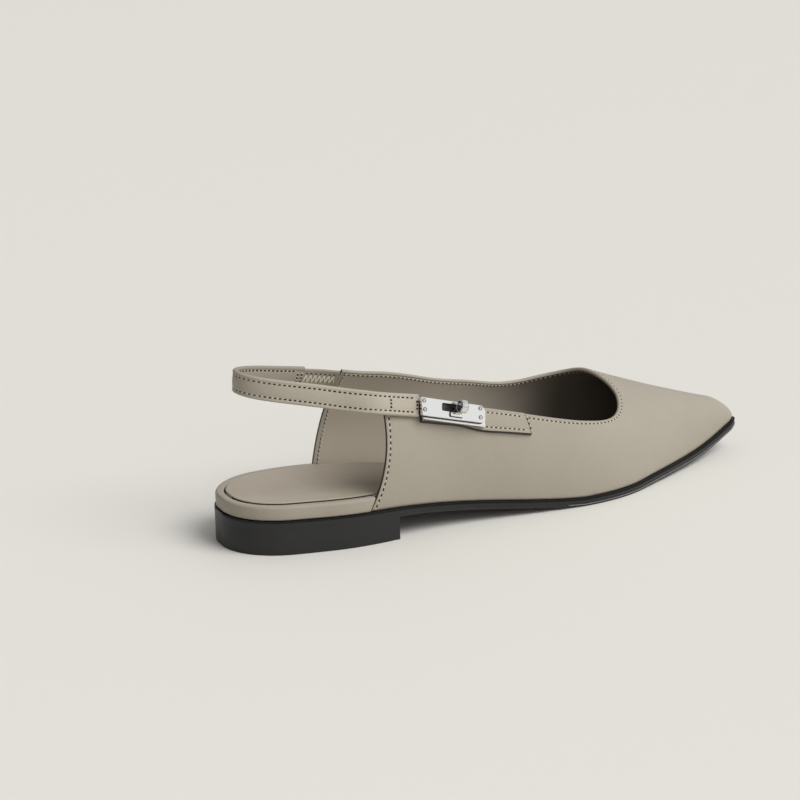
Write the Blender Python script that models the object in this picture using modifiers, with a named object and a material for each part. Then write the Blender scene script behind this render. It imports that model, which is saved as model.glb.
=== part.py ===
"""Sling back flat, the right shoe of a pair, as separate closed pieces.

Metres. +X runs from the heel's back to the toe, +Y is the medial (inner) side, +Z is up.
The shoe stands on the plane z = 0. The origin is under the middle of the whole shoe.
"""

import math

import bmesh
import bpy
import numpy as np

# Driving sizes

LENGTH = 0.258
GAP = 0.0003

SOLE_THICK = 0.0034
SOLE_BEVEL = 0.0007
HEEL_BREAST = 0.0706
HEEL_INSET = 0.0003

WALL = 0.0018
FEATHER_INSET = 0.0013
WALL_FALL = 4

FOOTBED_THICK = 0.0063
FOOTBED_FRONT_THICK = 0.0030
FOOTBED_THINS_FROM = 0.066
FOOTBED_THINS_TO = 0.105
FOOTBED_END = 0.2420
RAND_INSET = 0.0006
RAND_ROUND = 0.0013
RIM_WIDTH = 0.0046
RECESS = 0.0020
RAND_STEP = 0.0570
RAND_STEP_HALF = 0.0001
RAND_STEP_REACH = 0.0240
RAND_GAP = 0.0008

INSOLE_THICK = 0.0022
INSOLE_DISH = 0.0012
INSOLE_ROUND = 0.0007
INSOLE_END = 0.2380
DISH_START = 0.0300
DISH_END = 0.0900
DISH_FADE = 0.0600

STRAP_WIDTH = 0.0098
STRAP_THICK = 0.0022
STRAP_ROUND = 0.0006
STRAP_TOP_BACK = 0.0796
STRAP_SLOPE = -0.229
ELASTIC_WIDTH = 0.0079
ELASTIC_THICK = 0.0014
ELASTIC_GAP = 0.0006

TAB_START = 0.0834
TAB_END = 0.1337
TAB_END_LEAN = 0.0017
TAB_DROP = 0.0004
TAB_THICK = 0.0016
TAB_TOP_ROWS = 7
TAB_ROUND = 0.0004

LOCK_X = 0.0973
LOCK_Z = 0.0507
LOCK_SLOPE = -0.288
LOCK_LEAN_MORE = 3.0
LOCK_THICK = 0.0020
LOCK_BEVEL = 0.0003
LOCK_OUTLINE = (
    (-0.0160, 0.0039),
    (-0.0150, -0.0039),
    (0.0146, -0.0037),
    (0.0156, -0.0027),
    (0.0154, 0.0018),
    (0.0136, 0.0037),
)
BASE_THICK = 0.0008
BASE_OUTLINE = ((-0.0145, 0.0033), (-0.0135, -0.0050), (0.0172, -0.0050), (0.0160, 0.0033))
SLOT_MIDDLE = (-0.0006, 0.0009)
SLOT_SIZE = (0.0104, 0.0034)
LIP_MIDDLE = (0.0010, -0.0019)
LIP_SIZE = (0.0058, 0.0018)
LIP_STAND = 0.0009
POST_MIDDLE = (0.0024, 0.0008)
POST_RADIUS = 0.0010
KNOB_RISE = 0.0006
KNOB_STAND = 0.0031
KNOB_RADIUS = 0.0028
KNOB_LENGTH = 0.0034
KNOB_BEVEL = 0.0004
SCREW_MIDDLES = ((-0.0146, 0.0025), (-0.0141, -0.0013), (0.0129, 0.0024), (0.0132, -0.0015))
SCREW_RADIUS = 0.00075
SCREW_STAND = 0.0004
TOUCH = 0.00005

# The sole's edge at the feather line and the height of its underside

SOLE_COLUMNS = ("x", "lateral", "medial", "bottom")
SOLE_ROWS = (
    (0.000, -0.0345, 0.0105, 0.0116),
    (0.024, -0.0386, 0.0147, 0.0114),
    (0.047, -0.0425, 0.0151, 0.0110),
    (0.072, -0.0417, 0.0108, 0.0101),
    (0.097, -0.0392, 0.0102, 0.0075),
    (0.122, -0.0400, 0.0150, 0.0044),
    (0.147, -0.0414, 0.0245, 0.0012),
    (0.167, -0.0412, 0.0310, -0.0004),
    (0.182, -0.0382, 0.0322, -0.0004),
    (0.197, -0.0318, 0.0298, 0.0006),
    (0.215, -0.0228, 0.0232, 0.0016),
    (0.236, -0.0125, 0.0138, 0.0042),
    (0.258, -0.0022, 0.0038, 0.0110),
)

# The middle line that the round ends of the sole close on

CENTRE_COLUMNS = ("x", "y")
CENTRE_ROWS = (
    (0.000, -0.0110),
    (0.060, -0.0130),
    (0.130, -0.0090),
    (0.200, -0.0005),
    (0.258, 0.0007),
)
HEEL_ROUND = 0.0260
HEEL_POWER = 2.3
TOE_ROUND = 0.0050
TOE_ROUND_LEAST = 0.0025

# The last: its crest line over the instep, and how far its walls bulge past the feather line

LAST_COLUMNS = ("x", "crest_y", "crest_z", "bulge_lateral", "bulge_medial")
LAST_ROWS = (
    (0.050, -0.0140, 0.0850, 0.0026, 0.0048),
    (0.066, -0.0130, 0.0820, 0.0026, 0.0048),
    (0.100, -0.0090, 0.0770, 0.0024, 0.0042),
    (0.130, -0.0040, 0.0695, 0.0018, 0.0028),
    (0.160, 0.0000, 0.0580, 0.0013, 0.0016),
    (0.182, 0.0030, 0.0481, 0.0010, 0.0012),
    (0.200, 0.0040, 0.0407, 0.0008, 0.0010),
    (0.215, 0.0032, 0.0352, 0.0007, 0.0008),
    (0.230, 0.0023, 0.0302, 0.0006, 0.0006),
    (0.241, 0.0015, 0.0268, 0.0005, 0.0005),
    (0.258, 0.0008, 0.0225, 0.0004, 0.0004),
)
VAMP_ROUND = 0.0135

# The topline: which place of the feather line each place of the topline is lasted from

TOPLINE_COLUMNS = ("feather_x", "top_x", "top_y")
TOPLINE_LATERAL = (
    (0.0573, 0.0669, -0.0326),
    (0.0800, 0.0850, -0.0310),
    (0.1050, 0.1080, -0.0309),
    (0.1300, 0.1310, -0.0317),
    (0.1550, 0.1530, -0.0320),
    (0.1800, 0.1690, -0.0306),
    (0.2030, 0.1800, -0.0271),
    (0.2230, 0.1863, -0.0217),
    (0.2400, 0.1890, -0.0157),
    (0.2520, 0.1891, -0.0098),
)
TOPLINE_TIP = (0.2567, 0.1881, -0.0048)
TOPLINE_MEDIAL = (
    (0.0521, 0.0654, 0.0028),
    (0.0780, 0.0850, 0.0025),
    (0.1050, 0.1060, 0.0053),
    (0.1300, 0.1270, 0.0105),
    (0.1550, 0.1465, 0.0170),
    (0.1750, 0.1600, 0.0198),
    (0.1950, 0.1710, 0.0189),
    (0.2130, 0.1782, 0.0153),
    (0.2300, 0.1824, 0.0097),
    (0.2460, 0.1854, 0.0027),
)
BACK_EDGE_SWEEP_LATERAL = 3.0
BACK_EDGE_SWEEP_MEDIAL = 1.0
BACK_EDGE_REACH = 0.0600

UPPER_COLUMNS = 84
UPPER_ROWS = 11

# The strap's middle line round the heel, from the lock to the stretch piece, with its lean

STRAP_COLUMNS = ("x", "y", "lean_degrees")
STRAP_ROWS = (
    (0.0500, -0.0322, 6.0),
    (0.0410, -0.0300, 4.0),
    (0.0320, -0.0284, 2.0),
    (0.0240, -0.0272, 0.0),
    (0.0175, -0.0256, 0.0),
    (0.0120, -0.0226, 2.0),
    (0.0090, -0.0180, 4.0),
    (0.0092, -0.0130, 4.0),
    (0.0128, -0.0088, 2.0),
    (0.0185, -0.0056, 0.0),
    (0.0260, -0.0030, 2.0),
    (0.0345, -0.0008, 5.0),
    (0.0420, 0.0012, 8.0),
    (0.0455, 0.0020, 9.5),
)
STRAP_ON_QUARTER = (0.0826, 0.0740, 0.0640)
STRAP_SEGMENTS = 54
ELASTIC_SEGMENTS = 8

# The tab's height down from the topline

TAB_COLUMNS = ("x", "height")
TAB_ROWS = (
    (0.0830, 0.0098),
    (0.0930, 0.0094),
    (0.1030, 0.0089),
    (0.1100, 0.0095),
    (0.1200, 0.0092),
    (0.1370, 0.0081),
)

# Colours and finishes: colour, metallic, roughness

FINISHES = {
    "black_sole": ((0.012, 0.012, 0.013), 0.0, 0.45),
    "taupe_leather": ((0.42, 0.37, 0.29), 0.0, 0.5),
    "taupe_lining": ((0.33, 0.29, 0.23), 0.0, 0.6),
    "taupe_elastic": ((0.36, 0.32, 0.26), 0.0, 0.75),
    "polished_metal": ((0.80, 0.80, 0.79), 1.0, 0.12),
}


# Curves through the tables


def spline(xs, ys):
    """A natural cubic through the points, as a function of x."""
    xs, ys = np.array(xs, float), np.array(ys, float)
    n, h = len(xs), np.diff(xs)
    system, right = np.eye(n), np.zeros(n)
    for i in range(1, n - 1):
        system[i, i - 1 : i + 2] = h[i - 1], 2 * (h[i - 1] + h[i]), h[i]
        right[i] = 6 * ((ys[i + 1] - ys[i]) / h[i] - (ys[i] - ys[i - 1]) / h[i - 1])
    bend = np.linalg.solve(system, right)

    def at(x):
        x = np.asarray(x, float)
        i = np.clip(np.searchsorted(xs, x) - 1, 0, n - 2)
        t = x - xs[i]
        rise = (ys[i + 1] - ys[i]) / h[i] - h[i] * (2 * bend[i] + bend[i + 1]) / 6
        return ys[i] + t * rise + t**2 * bend[i] / 2 + t**3 * (bend[i + 1] - bend[i]) / (6 * h[i])

    return at


def table(rows, columns):
    """A spline over the first column for each other column."""
    data = np.array(rows, float)
    return {name: spline(data[:, 0], data[:, k]) for k, name in enumerate(columns) if k}


SOLE = table(SOLE_ROWS, SOLE_COLUMNS)
CENTRE = table(CENTRE_ROWS, CENTRE_COLUMNS)
LAST = table(LAST_ROWS, LAST_COLUMNS)
TAB = table(TAB_ROWS, TAB_COLUMNS)
LATERAL, MEDIAL = -1.0, 1.0
LATERAL_TOP = spline(*zip(*(row[1:] for row in TOPLINE_LATERAL[:TAB_TOP_ROWS])))


def by_side(side, lateral, medial):
    """Lateral values where side is below zero, medial ones elsewhere."""
    return np.where(np.asarray(side) < 0, lateral, medial)


def smoothstep(t):
    t = np.clip(t, 0.0, 1.0)
    return t * t * (3 - 2 * t)


# The sole's outline


def underside(x):
    """Height of the outsole's underside: heel seat, arch, flat tread and toe spring."""
    return np.maximum(SOLE["bottom"](x), 0.0)


def sole_top(x):
    return underside(x) + SOLE_THICK


def feather_z(x):
    return sole_top(x) + GAP


def end_rounding(x, inset):
    """Factor on the half breadth that closes the outline round the heel and at the toe."""
    heel = np.clip(1 - (x - inset) / (HEEL_ROUND - inset), 0.0, 1.0)
    toe_round = max(TOE_ROUND - inset, TOE_ROUND_LEAST)
    toe = np.clip((x - (LENGTH - inset - toe_round)) / toe_round, 0.0, 1.0)
    return (1 - heel**HEEL_POWER) ** (1 / HEEL_POWER) * np.sqrt(1 - toe**2)


def edge_y(x, side, inset=0.0):
    """The outline at x, set in from the sole's edge."""
    x = np.asarray(x, float)
    step = 0.0005
    slope_l = (SOLE["lateral"](x + step) - SOLE["lateral"](x - step)) / (2 * step)
    slope_m = (SOLE["medial"](x + step) - SOLE["medial"](x - step)) / (2 * step)
    slope = by_side(side, slope_l, slope_m)
    open_y = by_side(side, SOLE["lateral"](x), SOLE["medial"](x)) - side * inset * np.sqrt(1 + slope**2)
    centre = CENTRE["y"](x)
    return centre + (open_y - centre) * end_rounding(x, inset)


# The last's skin, which the upper, its overlay and the strap's ends lie on


def skin(x, side, phi):
    """A place on the last: phi is 0 at the feather line and a quarter turn at the crest."""
    foot = feather_z(x)
    crest_y = LAST["crest_y"](x)
    toe_start = LENGTH - FEATHER_INSET - VAMP_ROUND
    toe = np.clip((x - toe_start) / VAMP_ROUND, 0.0, 1.0)
    nose = np.sqrt(1 - toe**2)
    half = side * (edge_y(x, side, FEATHER_INSET) - crest_y)
    rise = (LAST["crest_z"](x) - foot) * nose
    bulge = by_side(side, LAST["bulge_lateral"](x), LAST["bulge_medial"](x))
    peak = math.atan(1 / math.sqrt(WALL_FALL))
    swell = np.sin(phi) * np.cos(phi) ** WALL_FALL / (math.sin(peak) * math.cos(peak) ** WALL_FALL)
    y = crest_y + side * (half * np.cos(phi) + bulge * nose * swell)
    return np.stack([x, y, foot + rise * np.sin(phi)], -1)


def skin_normal(x, side, phi):
    """The outward direction of the last's skin."""
    step = 1e-4
    along = skin(x + step, side, phi) - skin(x - step, side, phi)
    up = skin(x, side, phi + step) - skin(x, side, phi - step)
    out = np.cross(along, up) * (-side)
    return out / np.linalg.norm(out, axis=-1, keepdims=True)


def phi_at_plan(x, y):
    """The side and phi of the place on the last over the plan point x, y, its bulge left out."""
    crest_y = LAST["crest_y"](x)
    side = np.where(y < crest_y, LATERAL, MEDIAL)
    half = side * (edge_y(x, side, FEATHER_INSET) - crest_y)
    share = np.clip(side * (y - crest_y) / np.maximum(half, 1e-6), 0.0, 1.0)
    return side, np.arccos(share)


def phi_at_height(x, side, z):
    """The phi where the wall at x stands at the height z."""
    foot = feather_z(x)
    return np.arcsin(np.clip((z - foot) / (LAST["crest_z"](x) - foot), 0.0, 1.0))


# The upper: columns run from the feather line up to the topline, row by row


def feather_path():
    """Dense plan points along the feather line: lateral back edge, toe tip, medial back edge."""
    tip = LENGTH - FEATHER_INSET
    turn = np.linspace(0.0, math.pi / 2, 400)
    lateral_x = TOPLINE_LATERAL[0][0] + (tip - TOPLINE_LATERAL[0][0]) * np.sin(turn)
    medial_x = TOPLINE_MEDIAL[0][0] + (tip - TOPLINE_MEDIAL[0][0]) * np.sin(turn)
    lateral = np.stack([lateral_x, edge_y(lateral_x, LATERAL, FEATHER_INSET)], -1)
    medial = np.stack([medial_x, edge_y(medial_x, MEDIAL, FEATHER_INSET)], -1)
    return np.vstack([lateral, medial[::-1][1:]]), len(lateral) - 1


def path_length(points):
    return np.concatenate([[0.0], np.cumsum(np.linalg.norm(np.diff(points, axis=0), axis=1))])


def topline(places, path, lengths, tip):
    """Plan points of the topline that belong to the given lengths along the feather line."""
    lateral, medial = np.array(TOPLINE_LATERAL), np.array(TOPLINE_MEDIAL)
    lateral_at = np.interp(lateral[:, 0], path[: tip + 1, 0], lengths[: tip + 1])
    medial_at = np.interp(medial[:, 0], path[tip:, 0][::-1], lengths[tip:][::-1])
    at = np.concatenate([lateral_at, [lengths[tip]], medial_at[::-1]])
    top = np.vstack([lateral[:, 1:], [TOPLINE_TIP[1:]], medial[::-1, 1:]])
    return np.stack([spline(at, top[:, 0])(places), spline(at, top[:, 1])(places)], -1)


def upper_surface(columns, rows):
    """Points of the upper's outer surface, (columns + 1) by (rows + 1) of them."""
    path, tip = feather_path()
    lengths = path_length(path)
    share = np.linspace(-1.0, 1.0, columns + 1)
    near_tip = 0.55 * share + 0.45 * share**3
    reach = np.where(share < 0, lengths[tip], lengths[-1] - lengths[tip])
    places = lengths[tip] + near_tip * reach
    foot = np.stack([np.interp(places, lengths, path[:, k]) for k in (0, 1)], -1)
    top = topline(places, path, lengths, tip)
    _, phi_top = phi_at_plan(top[:, 0], top[:, 1])
    grid = np.zeros((columns + 1, rows + 1, 3))
    lateral_column = share < 0
    sweep = by_side(share, BACK_EDGE_SWEEP_LATERAL, BACK_EDGE_SWEEP_MEDIAL)
    back_x = by_side(share, TOPLINE_LATERAL[0][0], TOPLINE_MEDIAL[0][0])
    at_back = 1 - smoothstep((foot[:, 0] - back_x) / BACK_EDGE_REACH)
    for j in range(rows + 1):
        v = j / rows
        lerp = (1 - np.cos(phi_top * v)) / (1 - np.cos(phi_top))
        plan = foot + (top - foot) * lerp[:, None]
        side, phi = phi_at_plan(plan[:, 0], plan[:, 1])
        if j == 0:
            side, phi = np.where(lateral_column, LATERAL, MEDIAL), np.zeros(columns + 1)
        x = plan[:, 0] + (top[:, 0] - foot[:, 0]) * (1 - (1 - v) ** sweep - lerp) * at_back
        grid[:, j] = skin(x, side, phi)
    return grid


# Mesh helpers

END_FLAT = 0.00015
HEEL_BLEND = 0.0500
TOE_BLEND = 0.0300
UNDER_SHARES = (0.25, 0.5, 0.75)


def finish_mesh(name, bm, finish, smooth_angle=35.0):
    """Turns a bmesh into a shaded object of its own."""
    bmesh.ops.recalc_face_normals(bm, faces=bm.faces)
    mesh = bpy.data.meshes.new(name)
    bm.to_mesh(mesh)
    bm.free()
    mesh.shade_smooth()
    mesh.set_sharp_from_angle(angle=math.radians(smooth_angle))
    mesh.materials.append(material(finish))
    piece = bpy.data.objects.new(name, mesh)
    SHOE.objects.link(piece)
    piece.parent = ROOT
    return piece


def material(name):
    """The named finish as a Principled BSDF material."""
    found = bpy.data.materials.get(name)
    if found:
        return found
    colour, metallic, roughness = FINISHES[name]
    made = bpy.data.materials.new(name)
    made.use_nodes = True
    shader = made.node_tree.nodes["Principled BSDF"]
    shader.inputs["Base Color"].default_value = (*colour, 1.0)
    shader.inputs["Metallic"].default_value = metallic
    shader.inputs["Roughness"].default_value = roughness
    made.diffuse_color = (*colour, 1.0)
    return made


def one_cap(end):
    return [end]


def loft(bm, rings, cap=one_cap):
    """Faces between closed rings that have the same number of points, and over both ends."""
    verts = [[bm.verts.new(p) for p in ring] for ring in rings]
    count = len(verts[0])
    for a, b in zip(verts, verts[1:]):
        for k in range(count):
            bm.faces.new((a[k], a[(k + 1) % count], b[(k + 1) % count], b[k]))
    for end in (verts[0], verts[-1]):
        for face in cap(end):
            bm.faces.new(face)


def stations(start, end, count, ends="both"):
    """Places along the shoe, closer together where an end is round."""
    t = np.linspace(0.0, 1.0, count)
    if ends == "both":
        t = (1 - np.cos(math.pi * t)) / 2
    elif ends == "start":
        t = 1 - np.cos(math.pi / 2 * t)
    return start + (end - start) * t


def layer_x(s, inset):
    """The place of a line that is set in from the edge: it starts and ends inside the outer one."""
    at_heel = np.clip(1 - s / HEEL_BLEND, 0.0, 1.0)
    at_toe = np.clip(1 - (LENGTH - s) / TOE_BLEND, 0.0, 1.0)
    return s + inset * (at_heel - at_toe)


def layer_ring(s, profile, across, shift=None):
    """One ring round a sole-like layer, at the place s along its outer line.

    profile lists (inset, height function) from the underside's edge up to the top's edge, and across
    lists (share of the breadth, height function) over the top. shift moves the profile's lines along
    the shoe, given the side, the place and the line's number."""
    sides = []
    for side in (LATERAL, MEDIAL):
        line = []
        for k, (inset, height) in enumerate(profile):
            x = float(layer_x(s, inset))
            if shift:
                x += shift(side, x, k)
            line.append((x, float(edge_y(x, side, inset)), float(height(x))))
        sides.append(np.array(line))
    lateral, medial = sides
    ring = [medial[0] + (lateral[0] - medial[0]) * share for share in UNDER_SHARES] + list(lateral)
    for share, height in across:
        point = lateral[-1] + (medial[-1] - lateral[-1]) * share
        point[2] = float(height(point[0]))
        ring.append(point)
    return ring + list(medial[::-1])


def layer_cap(lines):
    """Closes a layer's end by strips from side to side, one for each step of its profile."""
    under = len(UNDER_SHARES)

    def strips(end):
        lateral, medial = end[under : under + lines], end[::-1][:lines]
        over = end[under + lines : len(end) - lines]
        faces = []
        for k in range(lines - 1):
            face = [lateral[k], lateral[k + 1]]
            if k == lines - 2:
                face += over
            face += [medial[k + 1], medial[k]]
            if k == 0:
                face += end[:under]
            faces.append(face)
        return faces

    return strips


# Pieces


def build_outsole():
    bm = bmesh.new()
    profile = [
        (SOLE_BEVEL, underside),
        (0.0, lambda x: underside(x) + SOLE_BEVEL),
        (0.0, lambda x: sole_top(x) - SOLE_BEVEL / 2),
        (SOLE_BEVEL / 2, sole_top),
    ]
    across = [(share, sole_top) for share in UNDER_SHARES]
    places = stations(END_FLAT, LENGTH - END_FLAT, 58)
    loft(bm, [layer_ring(s, profile, across) for s in places], layer_cap(len(profile)))
    return finish_mesh("outsole", bm, "black_sole")


def build_heel_block():
    bm = bmesh.new()
    profile = [
        (HEEL_INSET + SOLE_BEVEL / 2, lambda x: 0.0),
        (HEEL_INSET, lambda x: SOLE_BEVEL / 2),
        (HEEL_INSET, lambda x: underside(x) - GAP),
    ]
    across = [(share, profile[-1][1]) for share in UNDER_SHARES]
    places = stations(END_FLAT, HEEL_BREAST, 24, "start")
    loft(bm, [layer_ring(s, profile, across) for s in places], layer_cap(len(profile)))
    return finish_mesh("heel_block", bm, "black_sole")


def thinning(x):
    """0 under the open heel and 1 inside the upper, where the footbed is thin."""
    return smoothstep((x - FOOTBED_THINS_FROM) / (FOOTBED_THINS_TO - FOOTBED_THINS_FROM))


def footbed_top(x):
    """Height of the footbed's rim."""
    return feather_z(x) + FOOTBED_THICK + (FOOTBED_FRONT_THICK - FOOTBED_THICK) * thinning(x)


def recess_floor(x):
    """Height of the footbed's top under the insole."""
    return footbed_top(x) - RECESS * (1 - 0.8 * thinning(x))


def back_edge_x(side, above):
    """Where the quarter's back edge stands at a height above its foot."""
    start, end, end_y = (TOPLINE_LATERAL if side < 0 else TOPLINE_MEDIAL)[0]
    sweep = BACK_EDGE_SWEEP_LATERAL if side < 0 else BACK_EDGE_SWEEP_MEDIAL
    phi_top = float(phi_at_plan(end, end_y)[1])
    v = float(phi_at_height(start, side, feather_z(start) + above)) / phi_top
    return start + (end - start) * (1 - (1 - v) ** sweep)


def footbed_profile(open_heel):
    """The footbed's side from its underside up over the rim and down to the insole's bed.

    Where the heel is open the rand stands out to the sole's edge, and inside the upper it is set in
    behind the wall. Also gives each line's height above the feather line."""
    side_inset = RAND_INSET if open_heel else FEATHER_INSET + WALL + GAP
    rim_inset = RAND_INSET + RIM_WIDTH
    lines = [
        (side_inset + RAND_ROUND / 4, 0.0),
        (side_inset, 0.08),
        (side_inset, 0.45),
        (side_inset, 1 - RAND_ROUND / FOOTBED_THICK),
        (side_inset + 0.3 * RAND_ROUND, 1 - 0.3 * RAND_ROUND / FOOTBED_THICK),
        (side_inset + RAND_ROUND, 1.0),
        (rim_inset, 1.0),
    ]
    profile = []
    for inset, share in lines:
        profile.append((inset, lambda x, share=share: feather_z(x) + (footbed_top(x) - feather_z(x)) * share))
    profile.append((rim_inset + GAP, recess_floor))
    return profile, [share * FOOTBED_THICK for _, share in lines] + [FOOTBED_THICK]


def build_footbed():
    bm = bmesh.new()
    _, heights = footbed_profile(True)
    edge = {}
    for side in (LATERAL, MEDIAL):
        for k, h in enumerate(heights):
            edge[side, k] = back_edge_x(side, h) - RAND_GAP

    def follow_back_edge(side, x, k):
        near = 1 - smoothstep((abs(x - RAND_STEP) - RAND_STEP_HALF) / RAND_STEP_REACH)
        return (edge[side, k] - RAND_STEP) * near

    step = (RAND_STEP - RAND_STEP_HALF, RAND_STEP + RAND_STEP_HALF)
    heel = [*stations(END_FLAT, 0.0440, 15, "start"), 0.0490, 0.0530, step[0]]
    front = [step[1], 0.0600, 0.0640, *np.linspace(0.0700, 0.2260, 21), 0.2330, FOOTBED_END]
    rings = []
    for places, open_heel in ((heel, True), (front, False)):
        profile, _ = footbed_profile(open_heel)
        across = [(share, recess_floor) for share in UNDER_SHARES]
        rings += [layer_ring(s, profile, across, follow_back_edge) for s in places]
    loft(bm, rings, layer_cap(len(profile)))
    return finish_mesh("footbed", bm, "taupe_leather")


def build_insole():
    bm = bmesh.new()
    inset = RAND_INSET + RIM_WIDTH + 2 * GAP

    def low(x):
        return recess_floor(x) + GAP

    def dished(share):
        def height(x):
            fade = (1 - smoothstep((x - DISH_END) / DISH_FADE)) * smoothstep(x / DISH_START)
            return low(x) + INSOLE_THICK - share * INSOLE_DISH * fade
        return height

    profile = [
        (inset, low),
        (inset, lambda x: low(x) + INSOLE_THICK - INSOLE_ROUND),
        (inset + 0.3 * INSOLE_ROUND, lambda x: low(x) + INSOLE_THICK - 0.3 * INSOLE_ROUND),
        (inset + INSOLE_ROUND, lambda x: low(x) + INSOLE_THICK),
    ]
    across = [(0.15, dished(0.45)), (0.35, dished(1.0)), (0.65, dished(1.0)), (0.85, dished(0.45))]
    places = stations(END_FLAT, INSOLE_END, 50, "start")
    loft(bm, [layer_ring(s, profile, across) for s in places], layer_cap(len(profile)))
    return finish_mesh("insole", bm, "taupe_lining")


def build_upper():
    bm = bmesh.new()
    grid = upper_surface(UPPER_COLUMNS, UPPER_ROWS)
    verts = [[bm.verts.new(p) for p in column] for column in grid]
    for a, b in zip(verts, verts[1:]):
        for j in range(UPPER_ROWS):
            bm.faces.new((a[j], b[j], b[j + 1], a[j + 1]))
    piece = finish_mesh("upper", bm, "taupe_leather", 60.0)
    shell = piece.modifiers.new("wall", "SOLIDIFY")
    shell.thickness = WALL
    shell.offset = -1.0
    return piece


def length_of(points):
    return np.linalg.norm(points, axis=-1, keepdims=True)


def strap_height(x):
    """Height of the strap's middle line."""
    return STRAP_TOP_BACK + STRAP_SLOPE * x - STRAP_WIDTH / 2


def quarter_place(x, z, side, out):
    """A place over the quarter, out from its surface, with the lean of the wall in degrees."""
    phi = phi_at_height(x, side, z)
    normal = skin_normal(np.float64(x), side, phi)
    place = skin(np.float64(x), side, phi) + normal * out
    return (*place, math.degrees(math.asin(normal[2])))


def strap_places():
    """Middle line of the strap with its lean, from the tab round the heel to the stretch piece."""
    out = GAP + STRAP_THICK / 2
    places = [quarter_place(x, strap_height(x), LATERAL, out) for x in STRAP_ON_QUARTER]
    places += [(x, y, strap_height(x), lean) for x, y, lean in STRAP_ROWS]
    return np.array(places)


def band(bm, places, segments, width, thick, round_off, end_shift=None):
    """A flat band along places (x, y, z, lean) that runs clockwise round the heel, seen from above."""
    steps = np.concatenate([[0.0], np.cumsum(np.linalg.norm(np.diff(places[:, :3], axis=0), axis=1))])
    curves = [spline(steps, places[:, k]) for k in range(4)]
    at = np.linspace(0.0, steps[-1], segments + 1)
    middle = np.stack([curve(at) for curve in curves[:3]], -1)
    ahead = np.stack([curve(at + 1e-4) - curve(at - 1e-4) for curve in curves[:3]], -1)
    ahead /= length_of(ahead)
    level = np.cross([0.0, 0.0, 1.0], ahead)
    level /= length_of(level)
    upright = np.cross(ahead, level)
    lean = np.radians(curves[3](at))[:, None]
    outward = np.cos(lean) * level + np.sin(lean) * upright
    across = np.cos(lean) * upright - np.sin(lean) * level
    half_w, half_t = width / 2, thick / 2
    corners = [
        (half_t, half_w - round_off), (half_t - round_off, half_w),
        (round_off - half_t, half_w), (-half_t, half_w - round_off),
        (-half_t, round_off - half_w), (round_off - half_t, -half_w),
        (half_t - round_off, -half_w), (half_t, round_off - half_w),
    ]
    rings = []
    for k in range(segments + 1):
        ring = [middle[k] + outward[k] * a + across[k] * b for a, b in corners]
        if end_shift and k == segments:
            ring = [end_shift(point) for point in ring]
        rings.append(ring)
    loft(bm, rings)


def build_heel_strap():
    bm = bmesh.new()
    band(bm, strap_places(), STRAP_SEGMENTS, STRAP_WIDTH, STRAP_THICK, STRAP_ROUND)
    return finish_mesh("heel_strap", bm, "taupe_leather")


def build_elastic():
    """The stretch piece between the strap and the medial quarter's back edge."""
    bm = bmesh.new()
    last = STRAP_ROWS[-1]
    before = STRAP_ROWS[-2]
    run = np.array([last[0] - before[0], last[1] - before[1]])
    start = np.array(last[:2]) + run / np.linalg.norm(run) * ELASTIC_GAP
    foot = feather_z(TOPLINE_MEDIAL[0][0])
    end_x = back_edge_x(MEDIAL, strap_height(TOPLINE_MEDIAL[0][1]) - foot) - ELASTIC_GAP
    end = quarter_place(end_x, strap_height(end_x), MEDIAL, -WALL / 2)
    middle = [(start[k] + end[k]) / 2 for k in (0, 1)]
    places = np.array([
        (*start, strap_height(start[0]), last[2]),
        (*middle, strap_height(middle[0]), (last[2] + end[3]) / 2),
        end,
    ])

    def to_back_edge(point):
        edge = back_edge_x(MEDIAL, point[2] - foot) - ELASTIC_GAP
        return np.array([edge, point[1], point[2]])

    band(bm, places, ELASTIC_SEGMENTS, ELASTIC_WIDTH, ELASTIC_THICK, ELASTIC_THICK / 3, end_shift=to_back_edge)
    return finish_mesh("elastic", bm, "taupe_elastic")


def tab_place(share, down, out):
    """A place over the tab: share along it, down from its top edge, out from the quarter."""
    start = TAB_START
    end = TAB_END + TAB_END_LEAN * down
    x = start + (end - start) * share
    side, phi_top = phi_at_plan(x, float(LATERAL_TOP(x)))
    top_z = float(skin(np.float64(x), side, phi_top)[2]) - TAB_DROP
    phi = phi_at_height(x, LATERAL, top_z - float(TAB["height"](x)) * down)
    return skin(np.float64(x), LATERAL, phi) + skin_normal(np.float64(x), LATERAL, phi) * out


def build_strap_tab():
    bm = bmesh.new()
    edge_share = TAB_ROUND / TAB["height"](TAB_START)
    low, high = GAP, GAP + TAB_THICK
    section = [(0.0, low), (0.0, high - TAB_ROUND), (edge_share, high)]
    section += [(down, high) for down in (0.25, 0.5, 0.75)]
    section += [(1 - edge_share, high), (1.0, high - TAB_ROUND), (1.0, low)]
    section += [(down, low) for down in (0.75, 0.5, 0.25)]
    rings = [[tab_place(share, down, out) for down, out in section] for share in np.linspace(0.0, 1.0, 27)]
    loft(bm, rings)
    return finish_mesh("strap_tab", bm, "taupe_leather")


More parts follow.
